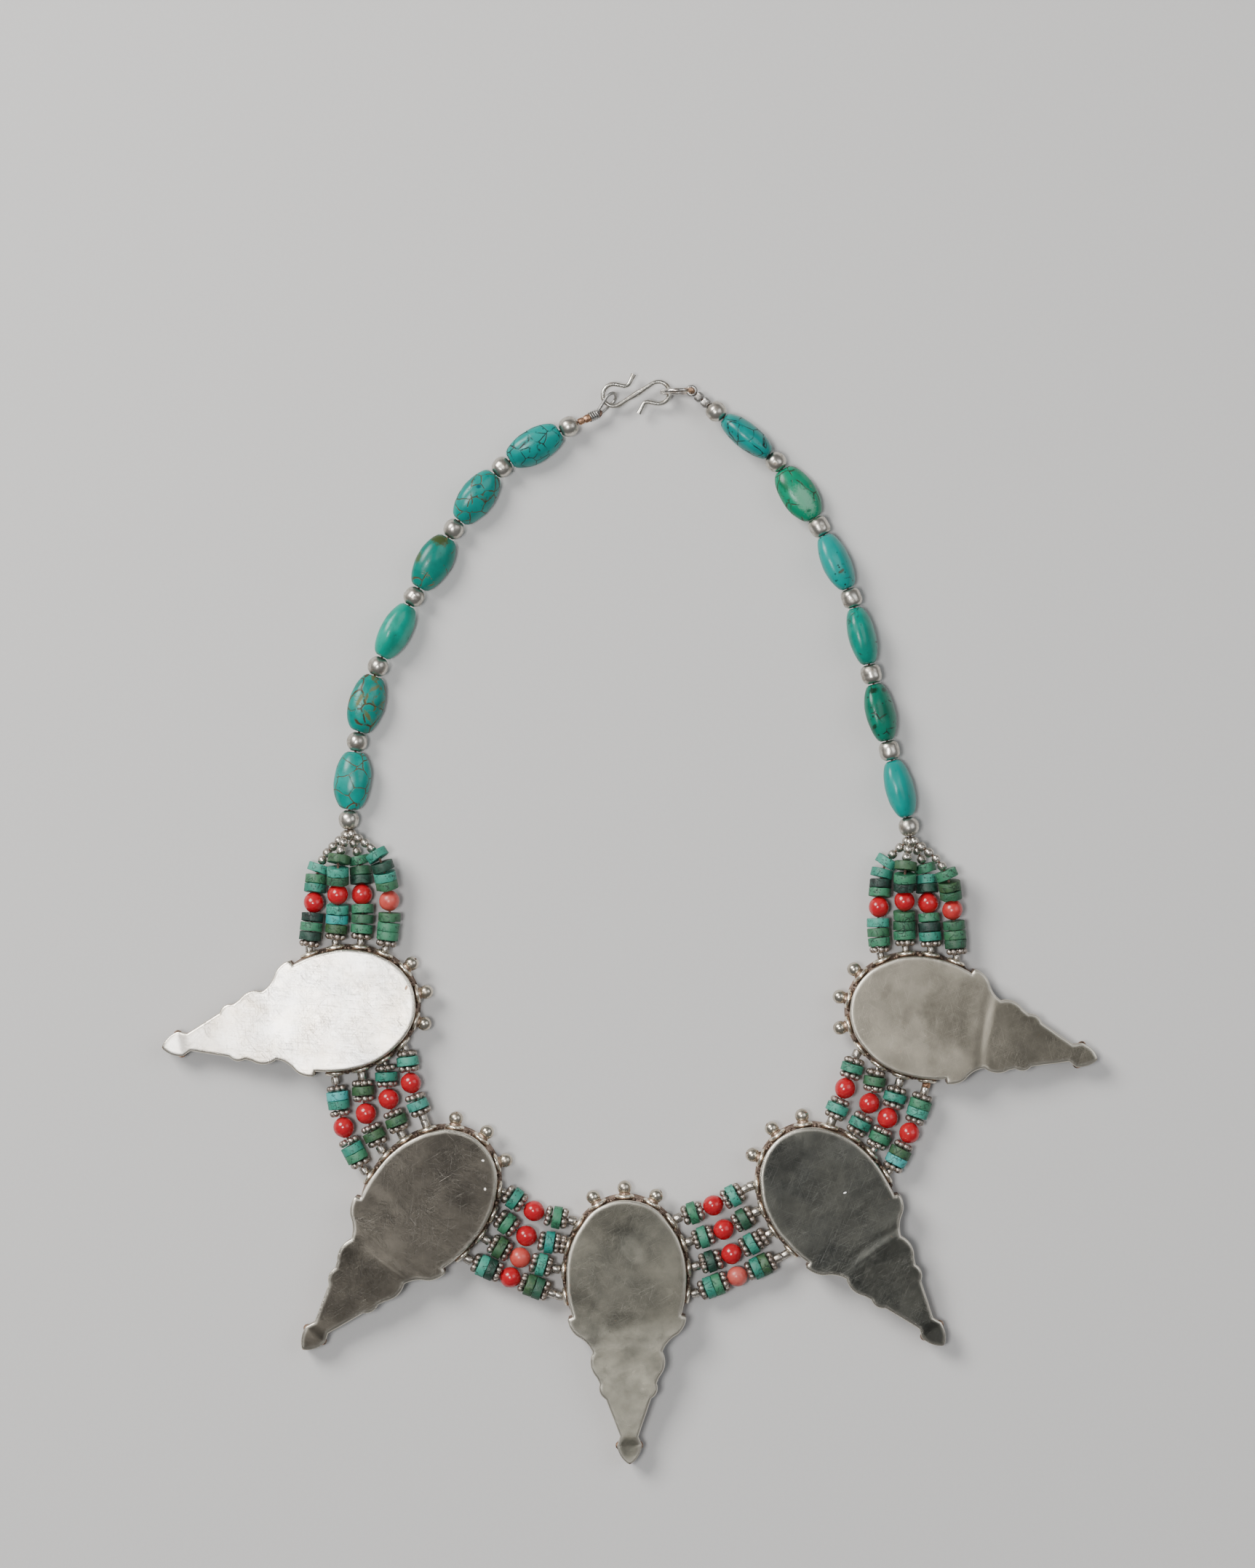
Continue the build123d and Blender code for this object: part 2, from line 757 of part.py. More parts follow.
low_level = disc_diameter / 2 + fit_gap
fan_threads = []
for side, routes in fan_routes.items():
    pendant = pendants[0] if side == "left" else pendants[-1]
    ring_side = -1 if side == "left" else 1
    gathered = gathering_point(strings[side][0])
    down = flat(pendant.centre) - flat(gathered)
    aside = Vector(-down.Y, down.X)
    strung = []
    for strand, (along_1, aside_1, level, along_2, aside_2) in enumerate(routes):
        ring, way = pendant.hole(ring_number(strand, ring_side))
        first_bend = flat(gathered) + down * along_1 + aside * aside_1
        second_bend = flat(gathered) + down * along_2 + aside * aside_2
        points = [
            ring - way * hole_inset,
            ring + way * hole_lead,
            raised(second_bend, hole_height),
            raised(first_bend, low_level + level * fan_level_rise),
            gathered,
        ]
        route = route_wire(points)
        upper = fan_discs + (1 if strand == extra_disc_strand else 0)
        kinds = ["daisy", *["disc"] * fan_discs, "coral", *["disc"] * upper]
        planes, end = string_on(route, first_bead + tube_length, kinds)
        strung.append(planes)
        print("fan", side, "strand", strand + 1, "room for seeds", round(route.length - end, 2))
        fan_threads.append(thread_tube(route))
    write_strings(f"fan_{side}", strung)

# Threads: each side's string ends in an eye round the loop or ring
eye_axes = {"left": loop_side, "right": Vector(0, 0, 1)}
eye_wires = {"left": loop_wire, "right": clasp_ring_wire}
neck_threads = []
for side, (corners, rolls) in strings.items():
    eye_radius = (eye_wires[side] + thread_diameter) / 2 + thread_play
    last_way = (corners[-1] - corners[-2]).normalized()
    end = corners[-1] - last_way * (eye_radius + thread_diameter / 4)
    tube = thread_tube(route_wire([gathering_point(corners), *corners[1:-1], end]))
    with BuildPart() as neck_thread:
        add(tube)
        with Locations(Plane(origin=corners[-1], z_dir=eye_axes[side])):
            Torus(eye_radius, thread_diameter / 2)
    neck_threads.append(neck_thread.part)
with BuildPart() as bead_threads:
    add(neck_threads)
    add(fan_threads)
    add(link_threads)
bead_threads.part.label = "bead_threads"
export_step(bead_threads.part, "parts/bead_threads.step")
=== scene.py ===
import bpy
import json
import math
import random
import numpy as np
from mathutils import Matrix, Vector, noise
from mathutils.geometry import delaunay_2d_cdt

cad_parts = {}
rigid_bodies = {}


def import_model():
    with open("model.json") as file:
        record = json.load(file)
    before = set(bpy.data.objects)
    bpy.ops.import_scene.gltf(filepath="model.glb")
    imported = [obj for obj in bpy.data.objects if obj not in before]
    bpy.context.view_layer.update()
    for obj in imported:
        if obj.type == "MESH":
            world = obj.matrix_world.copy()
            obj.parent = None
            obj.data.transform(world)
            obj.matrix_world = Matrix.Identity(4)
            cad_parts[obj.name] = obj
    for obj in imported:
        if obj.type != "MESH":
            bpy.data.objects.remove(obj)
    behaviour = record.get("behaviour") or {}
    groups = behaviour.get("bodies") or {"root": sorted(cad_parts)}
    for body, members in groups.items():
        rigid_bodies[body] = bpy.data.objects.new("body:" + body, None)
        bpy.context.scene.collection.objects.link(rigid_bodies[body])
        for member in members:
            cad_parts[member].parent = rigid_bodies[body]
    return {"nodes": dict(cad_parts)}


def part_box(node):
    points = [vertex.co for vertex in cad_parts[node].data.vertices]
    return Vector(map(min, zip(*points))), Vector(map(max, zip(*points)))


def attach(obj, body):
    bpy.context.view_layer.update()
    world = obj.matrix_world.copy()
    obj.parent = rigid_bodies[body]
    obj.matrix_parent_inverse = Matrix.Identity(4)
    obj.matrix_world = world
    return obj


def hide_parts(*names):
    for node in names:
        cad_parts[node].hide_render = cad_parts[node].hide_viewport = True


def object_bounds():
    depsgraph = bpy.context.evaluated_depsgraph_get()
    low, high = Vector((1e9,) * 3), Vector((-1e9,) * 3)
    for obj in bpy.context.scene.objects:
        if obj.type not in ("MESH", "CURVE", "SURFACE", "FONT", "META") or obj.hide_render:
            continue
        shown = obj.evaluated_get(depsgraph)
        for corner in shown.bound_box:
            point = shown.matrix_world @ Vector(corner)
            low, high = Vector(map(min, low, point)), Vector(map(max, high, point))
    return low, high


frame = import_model()
cadLow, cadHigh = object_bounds()
mm = 0.001
print("frame loaded:", len(frame["nodes"]), "nodes")


# shared ways of making pieces; a part is a pair of points in mm and faces

def newMesh(name, part, sharpAngle=None, boxed=False):
    points = [Vector(point) * mm for point in part[0]]
    if boxed:    # the tips of plates stay within the solids' own box
        for point in points:
            point.x = min(max(point.x, cadLow.x), cadHigh.x)
    mesh = bpy.data.meshes.new(name)
    mesh.from_pydata([tuple(point) for point in points], [], part[1])
    mesh.update()
    mesh.shade_smooth()
    if sharpAngle:
        mesh.set_sharp_from_angle(angle=math.radians(sharpAngle))
    return mesh


def newObject(name, data):
    piece = bpy.data.objects.new(name, data)
    bpy.context.scene.collection.objects.link(piece)
    return piece


def finishPiece(piece, finish, slotName, *nodes):
    # materials set by a node tree stay, and other pieces get theirs here
    if finish is not None:
        piece.data.materials.clear()
        piece.data.materials.append(finish)
    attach(piece, "root")
    if nodes:
        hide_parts(*nodes)


def addPiece(name, part, finish, slotName, *nodes, sharpAngle=None):
    finishPiece(newObject(name, newMesh(name, part, sharpAngle)), finish, slotName, *nodes)


def giveFinish(node, finish):
    # a CAD solid that stays gets its finish
    frame["nodes"][node].data.materials.clear()
    frame["nodes"][node].data.materials.append(finish)


def middleOf(node):
    low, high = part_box(node)
    return (low + high) / 2 / mm


def ringFaces(rows, around, closed=True, turned=False):
    # faces between rows of points that each run round once
    faces = []
    for row in range(rows if closed else rows - 1):
        for step in range(around):
            a, b = row * around + step, row * around + (step + 1) % around
            after = (row + 1) % rows * around
            c, d = after + (step + 1) % around, after + step
            faces.append((a, d, c, b) if turned else (a, b, c, d))
    return faces


def circle(side, rise, steps):
    turns = [2 * math.pi * step / steps for step in range(steps)]
    return [side * math.cos(turn) + rise * math.sin(turn) for turn in turns]


def tube(points, radius, sides, flats=None):
    # capped skin round an open path; flats are factors sideways and upwards
    rings = []
    for number, point in enumerate(points):
        way = (points[min(number + 1, len(points) - 1)] - points[max(number - 1, 0)]).normalized()
        side = Vector((0, 0, 1)).cross(way).normalized()
        wide, tall = flats[number] if flats else (1, 1)
        ring = circle(side * wide, way.cross(side) * tall, sides)
        rings += [point + spot * radius for spot in ring]
    last = len(rings) - sides
    caps = [tuple(reversed(range(sides))), tuple(range(last, last + sides))]
    return rings, ringFaces(len(points), sides, False) + caps


def closedTube(points, radius, sides, lump, seed):
    # uneven skin round a closed path
    middle = sum(points, Vector()) / len(points)
    rings = []
    for number, point in enumerate(points):
        way = (points[(number + 1) % len(points)] - points[number - 1]).normalized()
        outward = point - middle
        outward = (outward - way * outward.dot(way)).normalized()
        size = radius * (1 + lump * noise.noise(point * 0.9 + Vector((seed, 0, 0))))
        rings += [point + spot * size for spot in circle(outward, way.cross(outward), sides)]
    return rings, ringFaces(len(points), sides)


def lathe(profile, sides):
    # turned shape about z from (radius, height) pairs that run once round the section
    points = []
    for step in range(sides):
        turn = 2 * math.pi * step / sides
        points += [Vector((r * math.cos(turn), r * math.sin(turn), z)) for r, z in profile]
    return points, ringFaces(sides, len(profile), turned=True)


def smallSphere(radius, segments, rings, squash=1.0):
    # rows of points between two single poles
    points = [Vector((0, 0, -radius * squash))]
    for ring in range(1, rings):
        turn = math.pi * ring / rings
        level = Vector((0, 0, -radius * math.cos(turn) * squash))
        reach = radius * math.sin(turn)
        points += [level + spot for spot in circle(Vector((reach, 0, 0)), Vector((0, reach, 0)), segments)]
    points.append(Vector((0, 0, radius * squash)))
    top = len(points) - 1
    last = top - segments
    faces = []
    for step in range(segments):
        after = (step + 1) % segments
        faces.append((0, 1 + after, 1 + step))
        faces.append((last + step, last + after, top))
        for row in range(1, last, segments):
            faces.append((row + step, row + after, row + after + segments, row + step + segments))
    return points, faces


def joined(*parts):
    points, faces = [], []
    for morePoints, moreFaces in parts:
        start = len(points)
        points += morePoints
        faces += [tuple(corner + start for corner in face) for face in moreFaces]
    return points, faces


def moved(part, place):
    return [place @ Vector(point) for point in part[0]], part[1]


def stoodAt(part, place, way):
    # a part made about z, turned to a way and set at a place
    rotation = Vector((0, 0, 1)).rotation_difference(way).to_matrix()
    return [place + rotation @ point for point in part[0]], part[1]


def straight(first, last, steps):
    # the points after the first one, up to the last
    (x, y), (acrossX, acrossY) = first, (last[0] - first[0], last[1] - first[1])
    return [(x + acrossX * step / steps, y + acrossY * step / steps) for step in range(1, steps + 1)]


def arc(centre, radius, start, sweep, steps):
    turns = [start + sweep * step / steps for step in range(steps + 1)]
    return [(centre[0] + radius * math.cos(turn), centre[1] + radius * math.sin(turn)) for turn in turns]


def heading(turn):
    return Vector((math.cos(math.radians(turn)), math.sin(math.radians(turn)), 0))


# shared ways of making finishes

def putNode(tree, kind, inputs, **settings):
    # a node with its settings, and each input linked or set
    made = tree.nodes.new(kind)
    for name, value in settings.items():
        setattr(made, name, value)
    for name, value in inputs.items():
        socket = made.inputs[name]
        value = getattr(value, "socket", value)
        if isinstance(value, bpy.types.NodeSocket):
            tree.links.new(value, socket)
        else:
            socket.default_value = (*value, 1) if socket.type == "RGBA" else value
    return made


class Value:
    # a number or colour that a finish works out, open to arithmetic
    def __init__(self, finish, socket):
        self.finish, self.socket = finish, socket

    def worked(self, kind, other, clamp=False):
        return self.finish.value("ShaderNodeMath", {0: self, 1: other}, operation=kind, use_clamp=clamp)

    def __add__(self, other):
        return self.worked("ADD", other)

    def __sub__(self, other):
        return self.worked("SUBTRACT", other)

    def __mul__(self, other):
        return self.worked("MULTIPLY", other)

    def steps(self, *stops):
        made = putNode(self.finish.tree, "ShaderNodeValToRGB", {"Fac": self})
        ramp = made.color_ramp
        ramp.elements[1].position, ramp.elements[0].position = stops[-1][0], stops[0][0]
        for place, _ in stops[1:-1]:
            ramp.elements.new(place)
        for element, (_, colour) in zip(ramp.elements, stops):
            element.color = (*colour, 1) if isinstance(colour, tuple) else (colour, colour, colour, 1)
        return Value(self.finish, made.outputs[0])

    def rise(self, low, high, top=1.0):
        return self.steps((low, 0.0), (high, top))

    def fall(self, low, high):
        return self.steps((low, 1.0), (high, 0.0))


class Finish:
    # a material whose nodes are placed by short calls; sizes are in mm on Object coordinates
    def __init__(self, name):
        self.material = bpy.data.materials.new(name)
        self.material.use_nodes = True
        self.tree = self.material.node_tree
        self.tree.nodes.clear()
        self.shader = putNode(self.tree, "ShaderNodeBsdfPrincipled", {})
        putNode(self.tree, "ShaderNodeOutputMaterial", {0: self.shader.outputs[0]})
        self.place = self.value("ShaderNodeTexCoord", {}, "Object")

    def value(self, kind, inputs, output=0, **settings):
        return Value(self, putNode(self.tree, kind, inputs, **settings).outputs[output])

    def mapped(self, shift, turn, scale):
        return self.value(
            "ShaderNodeMapping",
            {"Vector": self.place, "Location": tuple(part * mm for part in shift),
             "Rotation": (0, 0, math.radians(turn)), "Scale": tuple(part * mm for part in scale)},
            vector_type="TEXTURE",
        )

    def cloud(self, size, detail, rough, bend=0.0, vector=None, shift=0.0):
        return self.value(
            "ShaderNodeTexNoise",
            {"Vector": vector or self.place, "Scale": 1.0 if vector else 1 / (size * mm), "Detail": detail,
             "Roughness": rough, "Distortion": bend, "W": shift},
            noise_dimensions="4D",
        )

    def cells(self, size, feature="F1", vector=None, output=0):
        inputs = {"Vector": vector or self.place, "Scale": 1.0 if vector else 1 / (size * mm)}
        return self.value("ShaderNodeTexVoronoi", inputs, output, feature=feature)

    def spot(self, place, size, turn, edge, near, far):
        # 1 in an ellipse about a place in mm and 0 outside it, with an uneven edge
        away = self.mapped((*place, 0), turn, (size[0] / 2, size[1] / 2, 1000))
        away = self.value("ShaderNodeVectorMath", {0: away}, "Value", operation="LENGTH")
        return (away + edge).fall(near, far)

    def mixed(self, share, first, second, kind="MIX"):
        return self.value("ShaderNodeMix", {0: share, 6: first, 7: second}, 2,
                          data_type="RGBA", blend_type=kind, clamp_factor=True)

    def dimmed(self, share, colour, factor):
        return self.mixed(share, colour, self.mixed(1.0, colour, (factor, factor, factor), "MULTIPLY"))

    def tone(self, name="beadTone"):
        return self.value("ShaderNodeAttribute", {}, "Fac", attribute_name=name)

    def relief(self, height, depth):
        return self.value("ShaderNodeBump", {"Height": height, "Distance": depth * mm, "Strength": 1.0})

    def shade(self, **values):
        names = {
            "colour": "Base Color", "metal": "Metallic", "rough": "Roughness", "normal": "Normal",
            "coat": "Coat Weight", "coatRough": "Coat Roughness", "subsurface": "Subsurface Weight",
            "bleed": "Subsurface Radius", "bleedScale": "Subsurface Scale", "sheen": "Sheen Weight",
            "shine": "Specular IOR Level",
        }
        for name, value in values.items():
            socket = self.shader.inputs[names[name]]
            if isinstance(value, Value):
                self.tree.links.new(value.socket, socket)
            else:
                socket.default_value = value
        return self.material


# where everything lies, in mm: the same plan as the solids follow

pendantPlan = {
    "headWidth": 29.6, "headDepth": 8.3, "tailSlope": 5.0, "ringStand": 0.75, "ringPitch": 23.4,
    "ringWidth": 4.7, "ringWire": 0.95, "holeHeight": 4.4, "ballStand": 3.0, "ballWidth": 3.4,
    "headCentre": 0.249, "headWidest": 0.282, "headNose": 0.845, "shoulder": 0.455, "crease": 0.546,
    "spadeNeck": 0.893, "spade": 0.930, "spadeReach": 0.160, "tailBall": 2.2,
}
pendantRows = [
    # head centre x, y, way the tail points, length
    (-69.280, -22.363, 191.9, 64.187),
    (-48.417, -68.569, 229.7, 68.009),
    (-0.881, -86.626, 271.1, 65.900),
    (47.505, -67.664, 308.4, 65.900),
    (70.509, -24.033, 346.4, 62.934),
]
outlineSteps = [
    # end along, end across, through along, through across
    (0.436, 0.905, 0.366, 0.975),
    (0.444, 0.986, None, None),
    (0.508, 0.830, 0.475, 0.950),
    (0.572, 0.576, 0.536, 0.672),
    (0.665, 0.520, 0.612, 0.617),
    (0.692, 0.466, None, None),
    (0.750, 0.372, 0.722, 0.474),
    (0.893, 0.140, None, None),
    (0.926, 0.198, None, None),
    (1.000, 0.000, 0.958, 0.160),
]
beadPlan = {
    "discWidth": 5.5, "disc": 2.05, "coralWidth": 5.1, "coral": 4.874, "daisyWidth": 5.3, "daisy": 1.4,
    "tubeLength": 1.4, "bore": 1.5, "gap": 0.15, "silverLength": 4.7, "bendShare": 0.68, "bendFill": 0.45,
    "firstBead": 3.475, "holeInset": 2.85, "holeLead": 0.95, "gatherReach": 2.95, "firstRing": 2,
}
linkBows = [
    # how far each strand of a gap bows outwards, as a share of the way from ring to ring
    (0.05, 0.08, 0.10, 0.10),
    (0.09, 0.11, 0.07, 0.03),
    (0.03, 0.05, 0.06, 0.03),
    (0.01, 0.07, 0.04, 0.05),
]
fanRoutes = {
    # first bend along and aside of the fan, whether it is raised, second bend along and aside
    "left": [
        (0.125, 0.185, 1, 0.430, 0.237),
        (0.160, 0.064, 0, 0.483, 0.075),
        (0.140, -0.056, 1, 0.483, -0.070),
        (0.165, -0.176, 0, 0.508, -0.216),
    ],
    "right": [
        (0.140, -0.160, 0, 0.483, -0.192),
        (0.150, -0.036, 1, 0.483, -0.042),
        (0.160, 0.087, 0, 0.483, 0.102),
        (0.165, 0.205, 1, 0.466, 0.240),
    ],
}
fanRise = {"low": 2.87, "step": 4.8}
gatherWays = {  # out of each gathering bead, towards its fan
    "left": Vector((-0.23, -5.0, 0)).normalized(),
    "right": Vector((0.66, -4.96, 0)).normalized(),
}


def pendantPlace(number):
    x, y, tail, length = pendantRows[number]
    return Matrix.Translation((x, y, 0)) @ Matrix.Rotation(math.radians(tail), 4, "Z")


def headEdge(turn, length):
    # the plate's edge and the way out of it, at an angle from the head's top about its centre
    plan = pendantPlan
    across = plan["headWidth"] / 2
    upper = plan["headWidest"] * length
    shift = (plan["headWidest"] - plan["headCentre"]) * length
    along, aside = -math.cos(math.radians(turn)), math.sin(math.radians(turn))
    firstAlong, firstAcross = outlineSteps[0][:2]
    lower = (firstAlong - plan["headWidest"]) * length / math.sqrt(1 - firstAcross ** 2)
    for half in (upper, lower):
        a = (along / half) ** 2 + (aside / across) ** 2
        b = -2 * along * shift / half ** 2
        c = (shift / half) ** 2 - 1
        reach = (-b + math.sqrt(b * b - 4 * a * c)) / (2 * a)
        if (along * reach < shift) == (half == upper):
            break
    outward = Vector(((along * reach - shift) / half ** 2, aside * reach / across ** 2, 0)).normalized()
    return Vector((along * reach, aside * reach, 0)), outward


def ringAt(number, ringNumber, stand):
    # place beyond the plate's edge and the way out, in the necklace's own frame
    edge, outward = headEdge(ringNumber * pendantPlan["ringPitch"], pendantRows[number][3])
    place = pendantPlace(number)
    spot = place @ (edge + outward * stand)
    spot.z = pendantPlan["holeHeight"]
    return spot, (place.to_3x3() @ outward).normalized()


def bentPath(corners):
    # straight runs joined by arcs, as a dense row of points
    points = [corners[0]]
    for before, corner, after in zip(corners, corners[1:], corners[2:]):
        first, second = corner - before, after - corner
        turn = first.angle(second)
        reach = beadPlan["bendFill"] * min(first.length, second.length)
        radius = reach / math.tan(turn / 2)
        axis = first.cross(second).normalized()
        start = corner - first.normalized() * reach
        centre = start + axis.cross(first.normalized()) * radius
        steps = max(4, int(math.degrees(turn)))
        for step in range(steps + 1):
            spin = Matrix.Rotation(turn * step / steps, 3, axis)
            points.append(centre + spin @ (start - centre))
    points.append(corners[-1])
    return points


class Path:
    def __init__(self, points):
        self.points = points
        self.marks = [0.0]
        for first, second in zip(points, points[1:]):
            self.marks.append(self.marks[-1] + (second - first).length)
        self.length = self.marks[-1]

    def at(self, run):
        run = min(max(run, 0.0), self.length)
        number = min(int(np.searchsorted(self.marks, run, side="right")) - 1, len(self.points) - 2)
        first, second = self.points[number], self.points[number + 1]
        way = (second - first).normalized()
        return first + way * (run - self.marks[number]), way


def stringOn(path, start, kinds):
    beads, here, lastWay = [], start, None
    for kind in kinds:
        middle = here + beadPlan[kind] / 2
        way = path.at(middle)[1]
        if lastWay is not None:
            middle += beadPlan["discWidth"] * beadPlan["bendShare"] * way.angle(lastWay)
            way = path.at(middle)[1]
        beads.append((kind, path.at(middle)[0], way))
        here = middle + beadPlan[kind] / 2 + beadPlan["gap"]
        lastWay = way
    return beads, here


def layStrands():
    # every strand with its beads: (group, strand number, path, beads, run at the first and last bead)
    strands = []
    plan = beadPlan

    def lay(group, strand, ends, bends, kinds, start=None):
        # the path runs from inside the first ring to the bends and to the last place
        (hole, way), last = ends[0], ends[1:]
        corners = [hole - way * plan["holeInset"], hole + way * plan["holeLead"], *bends]
        for hole, way in last:
            corners += [hole + way * plan["holeLead"], hole - way * plan["holeInset"]]
        path = Path(bentPath(corners))
        if start is None:
            start = (path.length - stringOn(path, 0, kinds)[1]) / 2
        beads, end = stringOn(path, start, kinds)
        strands.append((group, strand, path, beads, start, end))

    stand = pendantPlan["ringStand"]
    for gap, bows in enumerate(linkBows):
        for strand, bow in enumerate(bows):
            ring = strand + plan["firstRing"]
            ends = [ringAt(gap, ring, stand), ringAt(gap + 1, -ring, stand)]
            across = ends[1][0] - ends[0][0]
            middle = (ends[0][0] + ends[1][0]) / 2 + Vector((across.y, -across.x, 0)) * bow
            half = ["daisy", *["disc"] * (2 if strand == 3 else 1), "daisy"]
            lay(f"link_{gap + 1}", strand, ends, [middle], [*half, "coral", *half])
    for side, routes in fanRoutes.items():
        number, ringSide = (0, -1) if side == "left" else (4, 1)
        gathered = middleOf(f"silver_{side}_7") + gatherWays[side] * plan["gatherReach"]
        flat = Vector((gathered.x, gathered.y, 0))
        down = Vector((*pendantRows[number][:2], 0)) - flat
        aside = Vector((-down.y, down.x, 0))
        for strand, (along1, aside1, raised, along2, aside2) in enumerate(routes):
            first = flat + down * along1 + aside * aside1
            first.z = fanRise["low"] + raised * fanRise["step"]
            second = flat + down * along2 + aside * aside2
            second.z = pendantPlan["holeHeight"]
            ends = [ringAt(number, ringSide * (strand + plan["firstRing"]), stand)]
            kinds = ["daisy", *["disc"] * 3, "coral", *["disc"] * (4 if strand == 0 else 3)]
            start = plan["firstBead"] + plan["tubeLength"]
            lay(f"fan_{side}", strand, ends, [second, first, gathered], kinds, start)
    return strands


strands = layStrands()
print("strands laid:", len(strands))


# pendants: the plates that close their backs

plateLook = {
    "lift": 0.36,            # how far the plate stands over the solid's own
    "overhang": 0.10, "roll": 0.75, "rollDepth": 0.34, "gridStep": 0.75, "gridMargin": 1.35,
    "rowStep": 0.87, "insets": (0.10, 0.26, 0.46, 0.72, 1.05), "insetShare": 0.93, "rimBottom": 0.85,
    "handCut": 0.12, "cutSize": 4, "cover": 0.05, "dent": 0.09, "dentSize": 9, "fineDent": 0.022,
    "fineDentSize": 3.2, "softness": 1.1, "creaseBow": 0.006, "spadeRun": 2.2,
    "folds": ((-1.0, -0.9, 1.1), (0.45, 1.2, 1.3)),    # share of the groove, place and width in mm
    "rimLevels": ((0.05, 0.10), (0.06, 0.28), (0.0, 0.85)),    # reach outwards, fall
    "edgeWear": 0.48, "rimWear": 0.6, "rimShade": (0.84, 0.79, 0.68), "sharp": 50,
    "tailFrom": 12.0, "tailRun": 16.0,    # the tail's shade begins this far from the head's centre
    "scored": (0.36, 0.29, 0.22),         # scratches of the first plate, whose near-white colour is a painted reflection
    # turn from the tail's way in degrees, width and run in mm, seed
    "scratches": ((-62, 0.12, 6.5, 1.0), (35, 0.13, 7.5, 2.0), (82, 0.11, 4.2, 3.0), (-18, 0.12, 5.0, 4.0)),
}
plateMarks = [
    # plate, place in mm, size along and across, turn in degrees, colour, strength
    (0, -55.5, -17.2, 1.5, 0.8, 70, (0.14, 0.07, 0.03), 0.9),
    (0, -65.0, -36.5, 0.9, 0.3, 110, (0.10, 0.08, 0.06), 0.8),
    (0, -57.5, -25.0, 1.6, 0.18, 150, (0.35, 0.32, 0.28), 0.7),
    (1, -50.8, -52.6, 1.5, 0.9, 40, (0.30, 0.13, 0.05), 0.8),
    (1, -36.4, -60.2, 0.9, 0.7, 0, (0.75, 0.73, 0.68), 0.8),
    (1, -35.9, -67.3, 0.6, 0.8, 0, (0.75, 0.73, 0.68), 0.8),
    (2, -12.8, -76.0, 1.0, 0.8, 30, (0.12, 0.07, 0.05), 0.7),
    (2, 4.6, -71.3, 1.6, 0.5, 160, (0.36, 0.20, 0.10), 0.8),
    (2, -15.0, -91.2, 0.8, 0.9, 0, (0.10, 0.06, 0.045), 0.8),
    (2, -14.9, -93.6, 0.8, 0.7, 0, (0.10, 0.06, 0.045), 0.8),
    (3, 53.5, -68.2, 1.0, 0.45, 20, (0.95, 0.94, 0.92), 1.0),
]
plateCloudsWithPaintedLight = [
    # plate, place in mm, size along and across, turn in degrees, colour factor; the narrow bands along the
    # creases are painted highlight and painted shade, and the spades' clouds painted reflection
    (0, -60.0, -14.0, 22, 12, 20, 0.86),
    (0, -84.0, -33.0, 26, 7, 12, 0.9),
    (0, -62.0, -34.0, 16, 9, -30, 0.88),
    (1, -44.6, -56.4, 18, 12, 30, 0.8),
    (1, -60.0, -70.5, 15, 4, -45, 1.35),
    (1, -68.8, -81.5, 10, 8, 40, 0.66),
    # painted reflection: the second plate's spade lighter for its steeper slope
    (1, -79.9, -101.8, 9, 8, 0, 1.5),
    # painted highlight: bright band along the second plate's waist crease
    (1, -60.5, -86.0, 15, 1.0, -36, 1.5),
    (2, -6.6, -74.5, 20, 15, 30, 0.55),
    (2, 0.8, -82.5, 11, 5, -50, 1.45),
    (2, -12.2, -94.0, 11, 6, -35, 0.68),
    (2, -2.0, -100.2, 10, 6, 20, 0.66),
    (2, -0.9, -113.5, 9, 2.5, 20, 0.82),
    # painted reflection: the middle plate's spade darker for its steeper slope
    (2, -0.4, -131.0, 8, 8, 0, 0.58),
    (3, 52.7, -57.5, 15, 9, 20, 1.28),
    (3, 38.5, -60.0, 15, 10, 60, 0.72),
    (3, 45.1, -78.5, 15, 7, 35, 1.22),
    # painted shade and painted highlight: dark line and bright band along the fourth plate's crease
    (3, 60.8, -83.2, 17, 1.1, 35, 0.6),
    (3, 59.8, -81.9, 16, 2.2, 35, 1.5),
    (4, 79.7, -23.7, 26, 16, 75, 0.62),
    # painted highlight: bright band along the fifth plate's crease
    (4, 89.2, -26.1, 17, 2.6, 78, 1.5),
    (4, 66.9, -31.4, 18, 8, -25, 1.18),
    (4, 64.0, -18.0, 7, 2.5, 60, 0.8),
    (4, 69.0, -24.5, 9, 3.0, 70, 0.82),
]
plateRows = [
    # crease groove in mm, its turn in degrees, spade's extra drop, seed
    {"groove": 0.03, "turn": 4, "spadeDrop": 0.26, "seed": 3},
    {"groove": 0.05, "turn": -14, "spadeDrop": 0.24, "seed": 11},
    {"groove": 0.02, "turn": 0, "spadeDrop": 0.28, "seed": 19},
    {"groove": 0.09, "turn": 0, "spadeDrop": 0.24, "seed": 27},
    {"groove": 0.10, "turn": -6, "spadeDrop": 0.24, "seed": 35},
]


def arcThrough(first, through, last, steps):
    # the arc on which three places lie, after its first point
    ax, ay = first
    bx, by = through
    cx, cy = last
    d = 2 * (ax * (by - cy) + bx * (cy - ay) + cx * (ay - by))
    a, b, c = ax * ax + ay * ay, bx * bx + by * by, cx * cx + cy * cy
    ux = (a * (by - cy) + b * (cy - ay) + c * (ay - by)) / d
    uy = (a * (cx - bx) + b * (ax - cx) + c * (bx - ax)) / d
    start = math.atan2(ay - uy, ax - ux)
    middle = math.atan2(by - uy, bx - ux) - start
    end = math.atan2(cy - uy, cx - ux) - start
    middle = (middle + math.pi) % (2 * math.pi) - math.pi
    end = (end + math.pi) % (2 * math.pi) - math.pi
    if middle * end < 0:
        end += 2 * math.pi if middle > 0 else -2 * math.pi
    return arc((ux, uy), math.hypot(ax - ux, ay - uy), start, end, steps)[1:]


